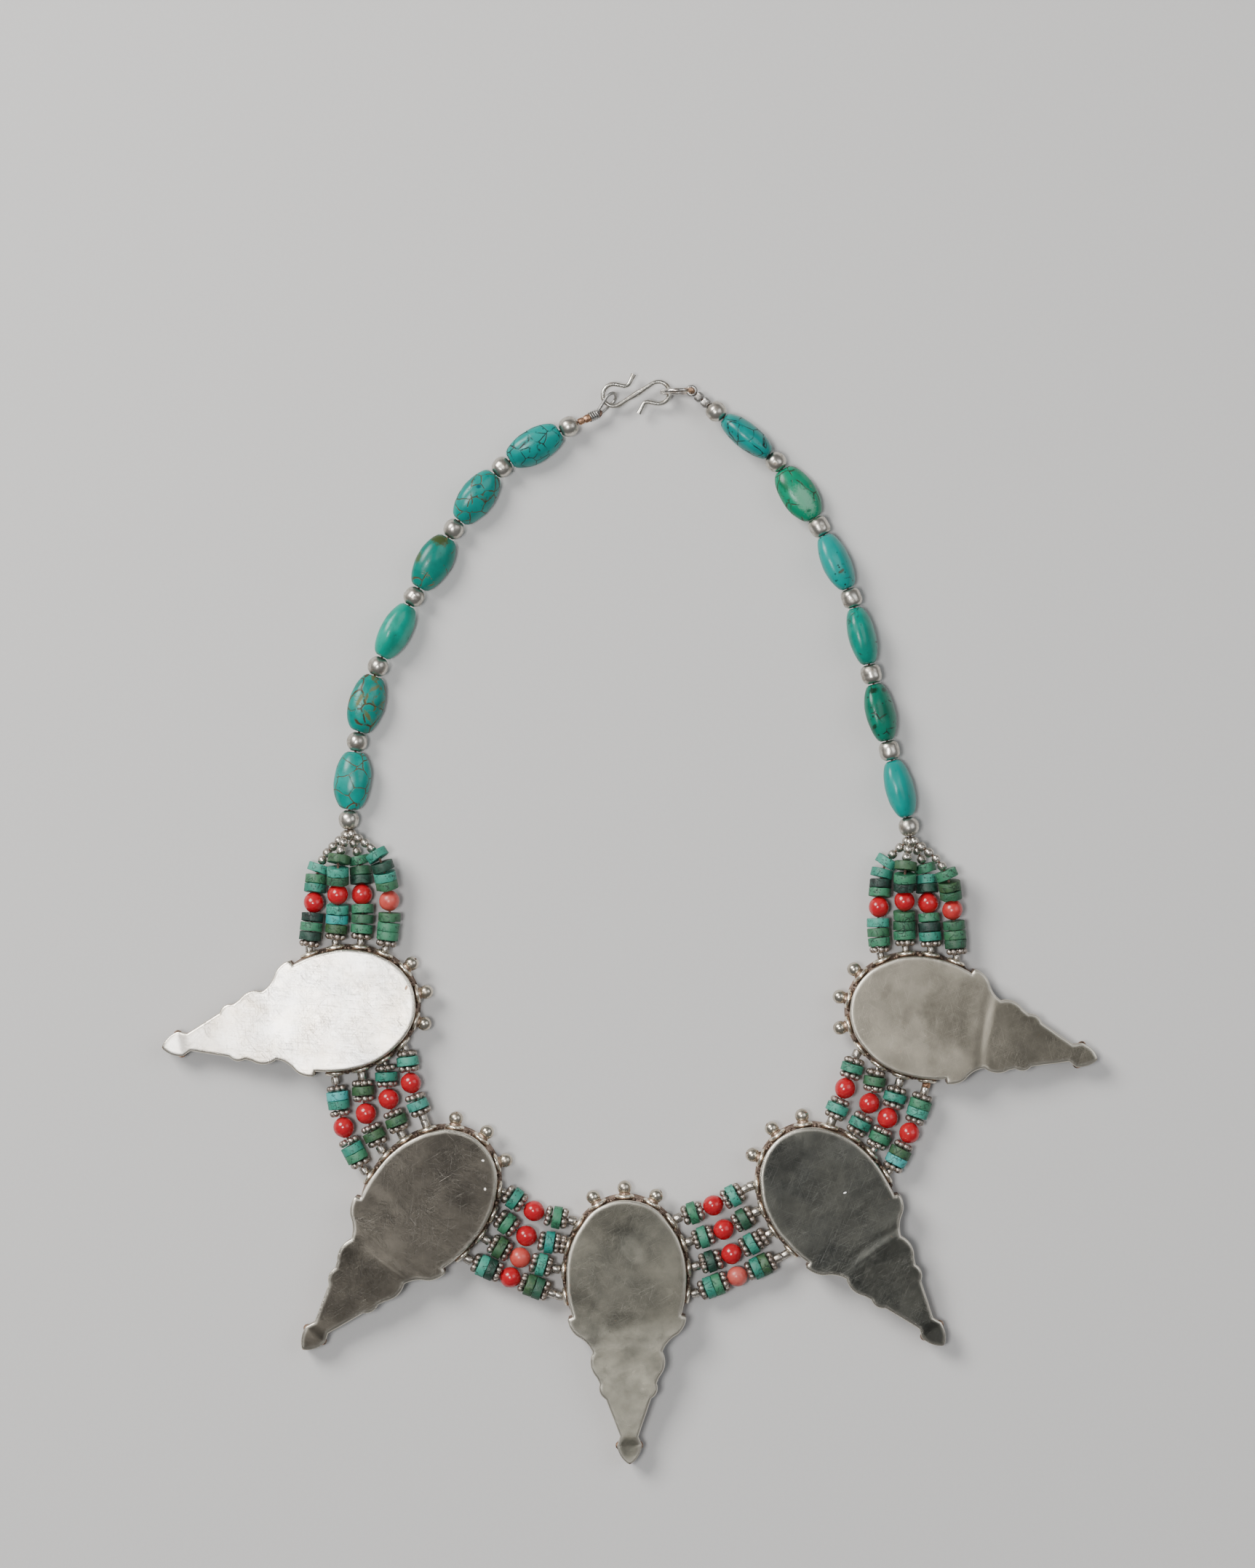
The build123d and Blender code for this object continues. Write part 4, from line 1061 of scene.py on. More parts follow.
def discMaster(variant):
    # a drilled slice with worn edges, chips and slightly dished faces
    look = discLook
    chance = random.Random(40 + variant)
    outer, half = beadPlan["discWidth"] / 2 + look["swell"], beadPlan["disc"] / 2 + look["thicker"]
    bore = beadPlan["bore"] / 2
    worn = look["worn"] + look["wornMore"] * chance.random()
    rim = [(outer * 0.55, half - look["bow"] * 0.5), (outer - worn * 1.7, half),
           (outer - worn * 0.4, half - worn * 0.5), (outer, half - worn * 1.6)]
    profile = [(bore, half - 0.05), (bore, 0.05 - half), *[(r, -z) for r, z in rim], (outer - 0.03, 0.0)]
    points, faces = lathe(profile + rim[::-1], look["sides"])
    chips = [
        (chance.uniform(0, 6.28), chance.choice((-1, 1)), chance.uniform(0.25, 0.6), chance.uniform(0.5, 1.0))
        for _ in range(1 + variant % 3)
    ]
    broken = variant == look["variants"] - 1    # the last shape is the one broken bead, open at one side
    for point in points:
        reach = math.hypot(point.x, point.y)
        if reach < outer * 0.6:
            continue
        turn = math.atan2(point.y, point.x)
        spot = Vector((point.x * 0.5, point.y * 0.5, point.z * 0.3 + variant * 7.3))
        shrink = look["wobble"] * noise.noise(spot)
        for place, side, spread, depth in chips:
            gap = abs((turn - place + math.pi) % (2 * math.pi) - math.pi)
            if broken and gap < look["notchTurn"]:
                shrink -= look["notch"] * (1 - (gap / look["notchTurn"]) ** 4)
            elif gap < spread and point.z * side > -0.2:
                bite = (1 - (gap / spread) ** 2) * depth * look["chip"]
                shrink -= bite * (0.45 if point.z * side < 0.3 else 1.0)
                point.z -= side * bite * 0.7
        point.x += point.x / reach * shrink
        point.y += point.y / reach * shrink
        point.z += look["warp"] * noise.noise(Vector((point.x * 0.6, point.y * 0.6, variant * 3.1)))
    return points, faces


def coralMaster(variant):
    look = coralLook
    radius, half = beadPlan["coralWidth"] / 2 + look["swell"], beadPlan["coral"] / 2
    bore, rows = beadPlan["bore"] / 2, look["rows"]
    start = math.asin(bore / radius)
    turns = [start + (math.pi - 2 * start) * step / rows for step in range(rows + 1)]
    ball = [(radius * math.sin(turn), -radius * math.cos(turn)) for turn in turns]
    points, faces = lathe([(bore, half - 0.1), (bore, 0.1 - half), *ball], look["sides"])
    for point in points:
        if math.hypot(point.x, point.y) > bore * 1.3:
            lump = noise.noise(point * look["coarse"] + Vector((0, 0, variant * 9)))
            point *= look["shrink"] + look["lumps"] * lump
    return points, faces


def daisyMaster(variant):
    # a ring of lumpy granules round a short sleeve
    look = daisyLook
    chance = random.Random(70 + variant)
    parts = []
    for step in range(look["granules"]):
        turn = 2 * math.pi * (step + chance.uniform(-look["uneven"], look["uneven"])) / look["granules"]
        ball = smallSphere(look["granule"] * chance.uniform(0.90, 1.02), 9, 7, 0.97)
        for point in ball[0]:
            spot = Vector((point.x * 1.5 + step * 3, point.y * 1.5 + variant * 5, point.z * 1.5))
            point *= 1 + look["lumps"] * noise.noise(spot)
        reach = beadPlan["daisyWidth"] / 2 + look["swell"] - look["granule"] + chance.uniform(-0.08, 0.02)
        place = (reach * math.cos(turn), reach * math.sin(turn), chance.uniform(-0.05, 0.05))
        parts.append(moved(ball, Matrix.Translation(place)))
    inner, outer, half = beadPlan["bore"] / 2, look["sleeve"], look["sleeveHalf"]
    parts.append(lathe([(inner, half), (inner, -half), (outer, -half * 0.8), (outer, half * 0.8)], 14))
    return joined(*parts)


def seedMaster(variant):
    # small round or slightly long silver bead with flat drilled ends
    look = seedLook
    chance = random.Random(90 + variant)
    radius = look["radius"] + look["radiusMore"] * chance.random()
    half = look["half"] + look["halfMore"] * chance.random()
    side = [(radius * 0.62, -half), (radius * 0.92, -half * 0.55)]
    points, faces = lathe(drilled(look["bore"], side, (radius, 0)), look["sides"])
    lumpy(points, look["lumps"], 1.0, variant * 4)
    return points, faces


def sleeveMaster(variant):
    # short fluted sleeve bead
    look = sleeveLook
    half = beadPlan["tubeLength"] / 2 + look["longer"]
    profile = drilled(look["bore"], [(look["end"], -half), (look["radius"], -half * 0.8)])
    points, faces = lathe(profile, look["sides"])
    for number, point in enumerate(points):
        if math.hypot(point.x, point.y) > look["end"] + 0.08 and (number // len(profile)) % 2:
            point.x *= look["flute"]
            point.y *= look["flute"]
    return points, faces


def beadTree():
    # places one of several bead shapes on every point, turned to its thread
    tree = bpy.data.node_groups.new("strungBeads", "GeometryNodeTree")
    for name, kind in (("Thread points", "Geometry"), ("Bead shapes", "Collection"),
                       ("Size variation", "Float"), ("Seed", "Int"), ("Bead finish", "Material")):
        tree.interface.new_socket(name, in_out="INPUT", socket_type="NodeSocket" + kind)
    tree.interface.new_socket("Beads", in_out="OUTPUT", socket_type="NodeSocketGeometry")

    def made(kind, inputs, output=0, **settings):
        return putNode(tree, kind, inputs, **settings).outputs[output]

    def fact(name, kind):
        node = putNode(tree, "GeometryNodeInputNamedAttribute", {"Name": name}, data_type=kind)
        return next(socket for socket in node.outputs if socket.enabled)

    source = tree.nodes.new("NodeGroupInput").outputs
    shapes = made("GeometryNodeCollectionInfo", {
        "Collection": source["Bead shapes"], "Separate Children": True, "Reset Children": True})
    align = made("FunctionNodeAlignRotationToVector", {"Vector": fact("beadWay", "FLOAT_VECTOR")}, axis="Z")
    spin = made("ShaderNodeCombineXYZ", {"Z": fact("beadSpin", "FLOAT")})
    spin = made("FunctionNodeEulerToRotation", {0: spin})
    turn = made("FunctionNodeRotateRotation", {0: align, 1: spin}, rotation_space="LOCAL")
    least = made("ShaderNodeMath", {0: 1.0, 1: source["Size variation"]}, operation="SUBTRACT")
    # the random node's inputs 2 and 3 and its output 1 are the ones for plain numbers
    vary = made("FunctionNodeRandomValue", {2: least, 3: 1.0, "Seed": source["Seed"]}, 1, data_type="FLOAT")
    size = made("ShaderNodeMath", {0: vary, 1: fact("beadSize", "FLOAT")}, operation="MULTIPLY")
    beads = made("GeometryNodeInstanceOnPoints", {
        "Points": source["Thread points"], "Instance": shapes, "Pick Instance": True,
        "Instance Index": fact("beadShape", "INT"), "Rotation": turn, "Scale": size})
    beads = made("GeometryNodeRealizeInstances", {0: beads})
    beads = made("GeometryNodeSetMaterial", {"Geometry": beads, "Material": source["Bead finish"]})
    putNode(tree, "NodeGroupOutput", {0: beads})
    return tree


def masterCollection(name, make, variants):
    collection = bpy.data.collections.new(name)
    bpy.context.scene.collection.children.link(collection)
    for variant in range(variants):
        shape = f"{name}{variant}"
        collection.objects.link(bpy.data.objects.new(shape, newMesh(shape, make(variant), 55)))
    return collection


strungBeads = beadTree()


def setBeads(name, spots, shapes, finish, variation, seed, slotName, *nodes):
    # spots: (place in mm, way, tone, size, shape if it is set); the tree's result becomes a plain mesh
    chance = random.Random(seed)
    count = len(shapes.objects)
    mesh = bpy.data.meshes.new(name + "Points")
    mesh.from_pydata([tuple(Vector(spot[0]) * mm) for spot in spots], [], [])
    spins = [chance.uniform(0, 2 * math.pi) for _ in spots]
    picks = [spot[4] if len(spot) > 4 else chance.randrange(count) for spot in spots]
    facts = {
        "beadTone": ("FLOAT", "value", [spot[2] for spot in spots]),
        "beadSpin": ("FLOAT", "value", spins),
        "beadShape": ("INT", "value", picks),
        "beadSize": ("FLOAT", "value", [spot[3] for spot in spots]),
        "beadWay": ("FLOAT_VECTOR", "vector", [part for spot in spots for part in spot[1]]),
    }
    for fact, (kind, field, values) in facts.items():
        mesh.attributes.new(fact, kind, "POINT").data.foreach_set(field, values)
    holder = newObject(name + "Points", mesh)
    modifier = holder.modifiers.new("beads", "NODES")
    modifier.node_group = strungBeads
    inputs = {"Bead shapes": shapes, "Size variation": variation, "Seed": seed, "Bead finish": finish}
    for item in strungBeads.interface.items_tree:
        if item.name in inputs:
            modifier[item.identifier] = inputs[item.name]
    bpy.context.view_layer.update()
    evaluated = holder.evaluated_get(bpy.context.evaluated_depsgraph_get())
    result = bpy.data.meshes.new_from_object(evaluated)
    result.name = name
    for vertex in result.vertices:
        vertex.co.z = min(vertex.co.z, cadHigh.z)
    bpy.data.objects.remove(holder)
    finishPiece(newObject(name, result), None, slotName, *nodes)


discShapes = masterCollection("disc", discMaster, discLook["variants"])
coralShapes = masterCollection("coral", coralMaster, coralLook["variants"])
daisyShapes = masterCollection("daisy", daisyMaster, daisyLook["variants"])
seedShapes = masterCollection("seed", seedMaster, seedLook["variants"])
sleeveShapes = masterCollection("sleeve", sleeveMaster, 1)
beadShapes = {
    # shapes, finish, slot, the nodes' plural, size variation
    "disc": (discShapes, discFinish(), "turquoise", "discs", 0.035),
    "coral": (coralShapes, coralFinish(), "coral", "corals", 0.03),
    "daisy": (daisyShapes, silver["pittedGranules"], "granulated_silver", "daisies", 0.04),
}

# tones seen along each strand, from the left pendant to the right one or from the ring upwards:
# 0 bright turquoise, 0.2 teal, 0.3 pale, 0.44 moss green, 0.56 sea green, 0.7 palest, 0.8 olive green,
# 0.9 dark green, 1 nearly black
discTones = {
    "link_1": [(0.30, 0.62), (0.18, 0.46), (0.44, 0.44), (0.70, 0.20, 0.22, 0.56)],
    "link_2": [(0.20, 0.56), (0.56, 0.10), (0.44, 0.30), (0.30, 0.92, 0.44, 0.86)],
    "link_3": [(0.56, 0.30), (0.58, 0.84), (0.92, 0.24), (0.20, 0.56, 0.18, 0.44)],
    "link_4": [(0.30, 0.58), (0.20, 0.48), (0.56, 0.22), (0.70, 0.44, 0.30, 0.56)],
    "fan_left": [
        (0.56, 0.56, 0.48, 0.50, 0.30, 0.90, 0.22), (0.56, 0.80, 0.56, 0.90, 0.80, 0.56),
        (0.44, 0.00, 0.30, 0.82, 0.30, 0.45), (0.95, 0.56, 1.00, 0.16, 0.52, 0.30),
    ],
    "fan_right": [
        (0.56, 0.50, 0.30, 0.56, 0.98, 0.20, 0.30), (0.56, 0.80, 0.50, 0.98, 0.56, 0.44),
        (0.20, 1.00, 0.56, 0.90, 0.30, 0.56), (0.84, 0.50, 0.80, 0.80, 0.44, 0.56),
    ],
}
coralTones = {
    "link_1": (0.1, 0.3, 0.5, 0.2), "link_2": (0.3, 0.1, 0.82, 0.2), "link_3": (0.1, 0.4, 0.2, 0.95),
    "link_4": (0.3, 0.2, 0.5, 0.6), "fan_left": (0.85, 0.5, 0.6, 0.1), "fan_right": (0.4, 0.2, 0.5, 0.7),
}
brokenDisc = ("link_2", 3, 1)
doubledDaisies = {("link_3", 2, 1), ("link_2", 1, 1)}
plainDiscs = discLook["variants"] - 1


def beadTone(order, group, kind, strand, number):
    if kind == "disc":
        return discTones[group][strand][number]
    if kind == "coral":
        return coralTones[group][strand]
    return random.Random(order * 31 + strand * 7 + number).random()


for order, group in enumerate(sorted(discTones)):
    for kind, (shapes, finish, slotName, plural, variation) in beadShapes.items():
        spots = []
        for _, strand, _, beads, _, _ in (row for row in strands if row[0] == group):
            for number, (_, place, way) in enumerate(bead for bead in beads if bead[0] == kind):
                spot = (place, way, beadTone(order, group, kind, strand, number), 1.0)
                if kind == "disc":
                    broken = (group, strand, number) == brokenDisc
                    shape = plainDiscs if broken else (order * 5 + strand * 3 + number) % plainDiscs
                    spot = (*spot, shape)
                spots.append(spot)
        setBeads(f"{group}_{kind}_beads", spots, shapes, finish, variation, 5 + order * 3, slotName,
                 f"{group}_{plural}")

# small silver beads: sleeves beside the rings and seeds up to the gathering beads
ringCrimp = {"strand": ("link_4", 3, 1), "length": 1.3}    # copper crimp at one ring only
sleeves, seeds, extraDaisies = [], [], []
for group, strand, path, beads, start, end in strands:
    tone = random.Random(strand * 5 + len(group)).random()
    if group.startswith("link"):
        for run, sign in ((start, -1), (end - beadPlan["gap"], 1)):
            ring = beadPlan["holeInset"] + pendantPlan["ringWire"] / 2 + 0.05
            if (group, strand, sign) == ringCrimp["strand"]:
                crimpSpot = path.at(path.length - ring - ringCrimp["length"] / 2)
                ring += ringCrimp["length"]
            room = run - ring if sign < 0 else path.length - ring - run
            count = max(1, round(room / sleeveLook["length"]))
            for sleeve in range(count):
                place, way = path.at(run + sign * room * (sleeve + 0.5) / count)
                if sleeve == 0 and (group, strand, sign) in doubledDaisies:
                    extraDaisies.append((place, way, tone, sleeveLook["doubled"]))
                else:
                    size = min(sleeveLook["longest"], room / count / sleeveLook["size"])
                    sleeves.append((place, way, tone, size))
    else:
        place, way = path.at(beadPlan["firstBead"] + beadPlan["tubeLength"] / 2 - 0.1)
        sleeves.append((place, way, tone, 1.0))
        room = path.length - end
        count = max(seedLook["fewest"], int(room / seedLook["length"]))
        size = min(1.0, room / count / seedLook["length"])
        for number in range(count):
            place, way = path.at(end + room / count * (number + 0.5))
            seeds.append((place, way, random.Random(number * 13 + strand).random(), size))
setBeads("sleeve_beads", sleeves, sleeveShapes, silver["seedSilver"], 0.08, 60, "polished_silver")
setBeads("doubled_daisies", extraDaisies, daisyShapes, silver["pittedGranules"], 0.04, 62,
         "granulated_silver")
setBeads("seed_beads", seeds, seedShapes, silver["seedSilver"], 0.06, 61, "polished_silver")
print("strung beads made:", len(strands), "strands")


# rings, balls and grains round the heads, and the tails' borders

trimLook = {
    "ringSides": 26, "wireSides": 8, "wireSwell": 0.09, "wave": 0.10, "ballSwell": 0.07, "seam": 0.16,
    "seamFrom": -0.3, "seamScale": 0.93, "collarLumps": 0.05, "grain": 0.62, "grainLumps": 0.22,
    "grainsPerGap": 3, "grainSpread": 0.16, "lastGrain": 5.4, "grainReach": (0.15, 0.65),
    "grainHeight": (3.8, 6.2), "grainSize": (0.6, 1.1), "borderStep": 1.25, "borderInset": 0.42,
    "borderFall": 1.7, "borderEnd": 2.0, "borderSize": (0.72, 1.06), "tailBallFall": 0.7,
    "collar": ((0.70, -1.20), (0.70, -2.10), (1.30, -2.10), (1.52, -1.75), (1.36, -1.25)),
}


def ringMaster(variant):
    radius = (pendantPlan["ringWidth"] - pendantPlan["ringWire"]) / 2
    wire = pendantPlan["ringWire"] / 2 + trimLook["wireSwell"]
    section = circle(Vector((wire, 0, 0)), Vector((0, wire, 0)), trimLook["wireSides"])
    points, faces = lathe([(radius + spot.x, spot.y) for spot in section], trimLook["ringSides"])
    for point in points:
        point.z += trimLook["wave"] * noise.noise(Vector((point.x * 0.5, point.y * 0.5, variant * 6.0)))
    return points, faces


def ballMaster(variant):
    # polished ball with a fine open seam on one of the shapes
    look = trimLook
    points, faces = smallSphere(pendantPlan["ballWidth"] / 2 + look["ballSwell"], 22, 16)
    for point in points:
        if variant == 1 and abs(point.x) < look["seam"] and point.z > look["seamFrom"]:
            point *= look["seamScale"]
    return points, faces


def collarMaster(variant):
    points, faces = lathe(trimLook["collar"], 18)
    lumpy(points, trimLook["collarLumps"], 1.0, variant * 5)
    return points, faces


def grainMaster(variant):
    points, faces = smallSphere(trimLook["grain"], 9, 6)
    lumpy(points, trimLook["grainLumps"], 1.6, variant * 8)
    return points, faces


ringShapes = masterCollection("ring", ringMaster, 3)
ballShapes = masterCollection("ball", ballMaster, 2)
collarShapes = masterCollection("collar", collarMaster, 2)
grainShapes = masterCollection("grain", grainMaster, 4)
rings, balls, grains, tailBalls, borders = [], [], [], [], []
chance = random.Random(8)
upwards = Vector((0, 0, 1))
for number in range(5):
    plan, look = pendantPlan, trimLook
    length = pendantRows[number][3]
    place = pendantPlace(number)
    for ringNumber in range(-5, 6):
        spot, way = ringAt(number, ringNumber, plan["ringStand"])
        rings.append((spot, way, chance.random(), 1.0))
        if abs(ringNumber) <= 1:
            spot, way = ringAt(number, ringNumber, plan["ballStand"])
            balls.append((spot, way, 0.2, 1.0))
        for _ in range(look["grainsPerGap"]):
            turn = ringNumber + 0.5 + chance.uniform(-look["grainSpread"], look["grainSpread"])
            if abs(turn) < look["lastGrain"]:
                spot, way = ringAt(number, turn, chance.uniform(*look["grainReach"]))
                spot.z = chance.uniform(*look["grainHeight"])
                grains.append((spot, way, chance.uniform(0.5, 1.0), chance.uniform(*look["grainSize"])))
    drop = math.tan(math.radians(plan["tailSlope"]))
    crease, spade, shoulder = (
        (plan[place] - plan["headCentre"]) * length for place in ("crease", "spade", "shoulder"))
    for side in (-1, 1):
        aside = side * plan["spadeReach"] * plan["headWidth"] / 2
        height = plan["headDepth"] - (spade - crease) * drop - look["tailBallFall"] - plan["tailBall"] / 2
        size = (plan["tailBall"] / 2 + 0.04) / look["grain"]
        tailBalls.append((place @ Vector((spade, aside, height)), upwards, 0.9, size))
    # border of grains under the tail's edge
    loop = pushedOut(plateOutline(length), -look["borderInset"])
    edge = [Vector((x, y, 0)) for x, y in loop if shoulder < x < spade - look["borderEnd"]]
    gone = 0.0
    for first, second in zip(edge, edge[1:]):
        gone += (second - first).length
        if gone >= look["borderStep"]:
            gone = 0.0
            height = plan["headDepth"] - max(0, second.x - crease) * drop - look["borderFall"]
            spot = place @ Vector((second.x, second.y, height + chance.uniform(-0.15, 0.1)))
            borders.append((spot, upwards, chance.random(), chance.uniform(*look["borderSize"])))
for name, spots, shapes, finish, variation, seed, slotName in (
    ("wire_rings", rings, ringShapes, "ringSilver", 0.0, 70, "polished_silver"),
    ("ring_balls", balls, ballShapes, "ballSilver", 0.0, 71, "polished_silver"),
    ("ball_collars", balls, collarShapes, "brownCollar", 0.0, 75, "tarnished_silver"),
    ("wall_grains", grains, grainShapes, "darkBorder", 0.1, 72, "tarnished_silver"),
    ("tail_balls", tailBalls, grainShapes, "brownCopper", 0.0, 73, "tarnished_silver"),
    ("tail_borders", borders, grainShapes, "darkBorder", 0.0, 74, "tarnished_silver"),
):
    setBeads(name, spots, shapes, silver[finish], variation, seed, slotName)
print("rings, balls and grains made:", len(rings), len(balls), len(grains), len(borders))


# barrels and round silver beads of the neck

barrelLook = {
    "length": 14.3, "width": 9.4, "thickness": 6.7, "end": 0.47, "sides": 40, "rows": 26, "dense": 0.80,
    "dent": 0.045, "fineDent": 0.018, "shrink": 0.99, "roundingFrom": 0.94, "rounding": 0.14, "slant": 0.06,
    "lowest": 0.02,
}


def makeBarrel(name, turn, roll, seed):
    look = barrelLook
    middle = middleOf(name)
    half, bore = look["length"] / 2, beadPlan["bore"] / 2
    wide, thick = look["width"] / 2, look["thickness"] / 2
    way = heading(turn)
    spin = Matrix.Rotation(math.radians(roll), 3, way)
    side, rise = spin @ Vector((0, 0, 1)).cross(way), spin @ Vector((0, 0, 1))
    profile = [(bore, half - 0.3), (bore, 0.3 - half)]
    for step in range(look["rows"] + 1):
        share = -1 + 2 * step / look["rows"]
        share = math.copysign(abs(share) ** look["dense"], share)
        full = math.sqrt(1 - (1 - look["end"] ** 2) * share ** 2)
        rounding = max(0.0, abs(share) - look["roundingFrom"]) / (1 - look["roundingFrom"])
        profile.append((full * (1 - look["rounding"] * rounding ** 2), share * half))
    slant = random.Random(int(seed * 10)).uniform(-look["slant"], look["slant"])
    points = []
    for step in range(look["sides"]):
        angle = 2 * math.pi * step / look["sides"]
        for number, (reach, along) in enumerate(profile):
            if number < 2:
                spot = (side * math.cos(angle) + rise * math.sin(angle)) * reach
            else:
                spot = (side * math.cos(angle) * wide + rise * math.sin(angle) * thick) * reach
                lump = noise.noise(spot * 0.22 + way * along * 0.16 + Vector((seed * 5, 0, 0)))
                small = noise.noise(spot * 0.6 + way * along * 0.5 + Vector((0, seed * 5, 0)))
                spot *= look["shrink"] + look["dent"] * lump + look["fineDent"] * small
            along += slant * spot.dot(side) * (abs(along) / half) ** 4
            points.append(middle + way * along + spot)
    # what would sink into the floor is lifted, least at the top
    lift = look["lowest"] - min(point.z for point in points)
    if lift > 0:
        for point in points:
            point.z += lift * max(0.0, 1 - point.z / 3)
    return points, ringFaces(look["sides"], len(profile), turned=True)


for name, row in barrelRows.items():
    look = dict(zip(barrelColumns, row))
    shape = makeBarrel(f"turquoise_{name}", look["turn"], look["roll"], look["seed"])
    finish = barrelFinish(name, look)
    addPiece(f"barrel_{name}", shape, finish, "turquoise", f"turquoise_{name}", sharpAngle=60)
print("turquoise barrels made:", len(barrelRows))

silverLook = {
    "width": 5.2, "length": 4.7, "sides": 28, "rows": 14, "end": 0.93, "dent": 0.05, "shrink": 0.988,
    "seam": 0.16, "seamDepth": 0.05, "split": 0.13, "splitDepth": 0.16, "round": 2.15, "square": 2.9,
}
silverWays = {  # way of each bead's bore, from the clasp to the gathering bead
    "left": (26.6, 41.7, 56.3, 60.9, 68.4, 79.4, 87.4),
    "right": (129.8, 132.3, 118.7, 109.1, 103.5, 104.3, 97.6),
}
squareBeads = {("right", number) for number in (3, 4, 5, 6)}
seamedBeads = {("left", 2), ("left", 4), ("right", 1), ("right", 5)}
splitBead = ("left", 4)


def makeSilverBead(side, number):
    look = silverLook
    name = f"silver_{side}_{number}"
    chance = random.Random(number * 7 + len(side))
    radius, half, bore = look["width"] / 2, look["length"] / 2, beadPlan["bore"] / 2
    power = look["square" if (side, number) in squareBeads else "round"]
    profile = [(bore, half - 0.15), (bore, 0.15 - half)]
    for step in range(look["rows"] + 1):
        share = -1 + 2 * step / look["rows"]
        profile.append((radius * (1 - (abs(share) * look["end"]) ** power) ** (1 / power), share * half))
    points, faces = lathe(profile, look["sides"])
    splitAt = chance.uniform(0.3, 1.2)
    for point in points:
        if math.hypot(point.x, point.y) > bore * 1.2:
            turn = math.atan2(point.y, point.x)
            dent = noise.noise(point * 0.45 + Vector((number * 3.0, len(side) * 2.0, 0)))
            scale = look["shrink"] + look["dent"] * dent
            if (side, number) in seamedBeads:
                gap = point.z - 0.25 * math.sin(turn)
                scale -= look["seamDepth"] * math.exp(-(gap / look["seam"]) ** 2)
            if (side, number) == splitBead:
                scale -= look["splitDepth"] * math.exp(-((turn - splitAt) / look["split"]) ** 2)
            point.x *= scale
            point.y *= scale
    ends = [min(1.0, abs(point.z / half) ** 2.5) for point in points]
    bead = moved((points, faces), Matrix.Rotation(chance.uniform(0, 6.28), 3, "Z"))
    bead = stoodAt(bead, middleOf(name), heading(silverWays[side][number - 1]))
    mesh = newMesh("round_" + name, bead, 60)
    mesh.attributes.new("beadTone", "FLOAT", "POINT").data.foreach_set("value", ends)
    finishPiece(newObject("round_" + name, mesh), silver["wornBeadSilver"], "polished_silver", name)


for side in ("left", "right"):
    for number in range(1, 8):
        makeSilverBead(side, number)
print("silver beads made")


# hook, loop and ring

claspLook = {
    "middle": (1.659, 130.769), "turn": 3.0, "height": 3.2, "wire": 0.55, "eyeRadius": 2.75,
    "eyeSpacing": 11.2, "eyeStop": 15.0, "lead": 1.9, "flickRadius": 1.3, "flick": 75.0, "end": 2.5,
    "flare": 1.6, "hammered": 3.2, "loopMiddle": (-6.524, -1.404), "loopTurn": 50.0, "loopTilt": 60.0,
    "wide": 1.9, "narrow": 1.0, "span": 3.6, "loopWire": 0.42, "ringMiddle": (10.136, 0.531),
    "ringRadius": 3.7, "ringWire": 0.62, "ringDrop": 1.2, "ringTurn": 93.0, "eye": 1.02, "eyeWire": 0.46,
}


def claspPlace(offset, rise=0.0):
    # a place beside the hook's middle
    look = claspLook
    return Vector((look["middle"][0] + offset[0], look["middle"][1] + offset[1], look["height"] + rise))


def hookPath():
    look = claspLook
    slant = math.asin(2 * look["eyeRadius"] / look["eyeSpacing"])
    run = math.sqrt(look["eyeSpacing"] ** 2 / 4 - look["eyeRadius"] ** 2)
    way = Vector((math.cos(math.pi + slant), math.sin(math.pi + slant), 0))
    points = [way * run * step / 5 for step in range(6)]

    def bend(radius, turn):
        nonlocal way
        side = Vector((-way.y, way.x, 0)) * math.copysign(1, turn)
        centre = points[-1] + side * radius
        start = points[-1] - centre
        steps = max(4, int(abs(turn) / 9))
        for step in range(1, steps + 1):
            spin = Matrix.Rotation(math.radians(turn) * step / steps, 3, "Z")
            points.append(centre + spin @ start)
        way = Matrix.Rotation(math.radians(turn), 3, "Z") @ way

    bend(look["eyeRadius"], -(180 + math.degrees(slant) + look["eyeStop"]))
    points.append(points[-1] + way * look["lead"])
    bend(look["flickRadius"], look["flick"])
    points.extend([points[-1] + way * look["end"] * share for share in (0.4, 0.75, 1.0)])
    half = [Matrix.Rotation(math.radians(look["turn"]), 3, "Z") @ point for point in points]
    other = [Vector((-point.x, -point.y, 0)) for point in half[1:]]
    middle = claspPlace((0, 0))
    return [middle + point for point in reversed(other)] + [middle + point for point in half]


def makeHook():
    # the wire is flattened in the middle and at its ends
    points = hookPath()
    path = Path(points)
    flats = []
    for run in path.marks:
        flare = max(0.0, 1 - min(run, path.length - run) / claspLook["flare"])
        hammered = max(0.0, 1 - abs(run - path.length / 2) / claspLook["hammered"])
        flats.append((1 + 0.22 * flare ** 1.5 + 0.30 * hammered, 1 - 0.30 * flare - 0.20 * hammered))
    return tube(points, claspLook["wire"], 14, flats)


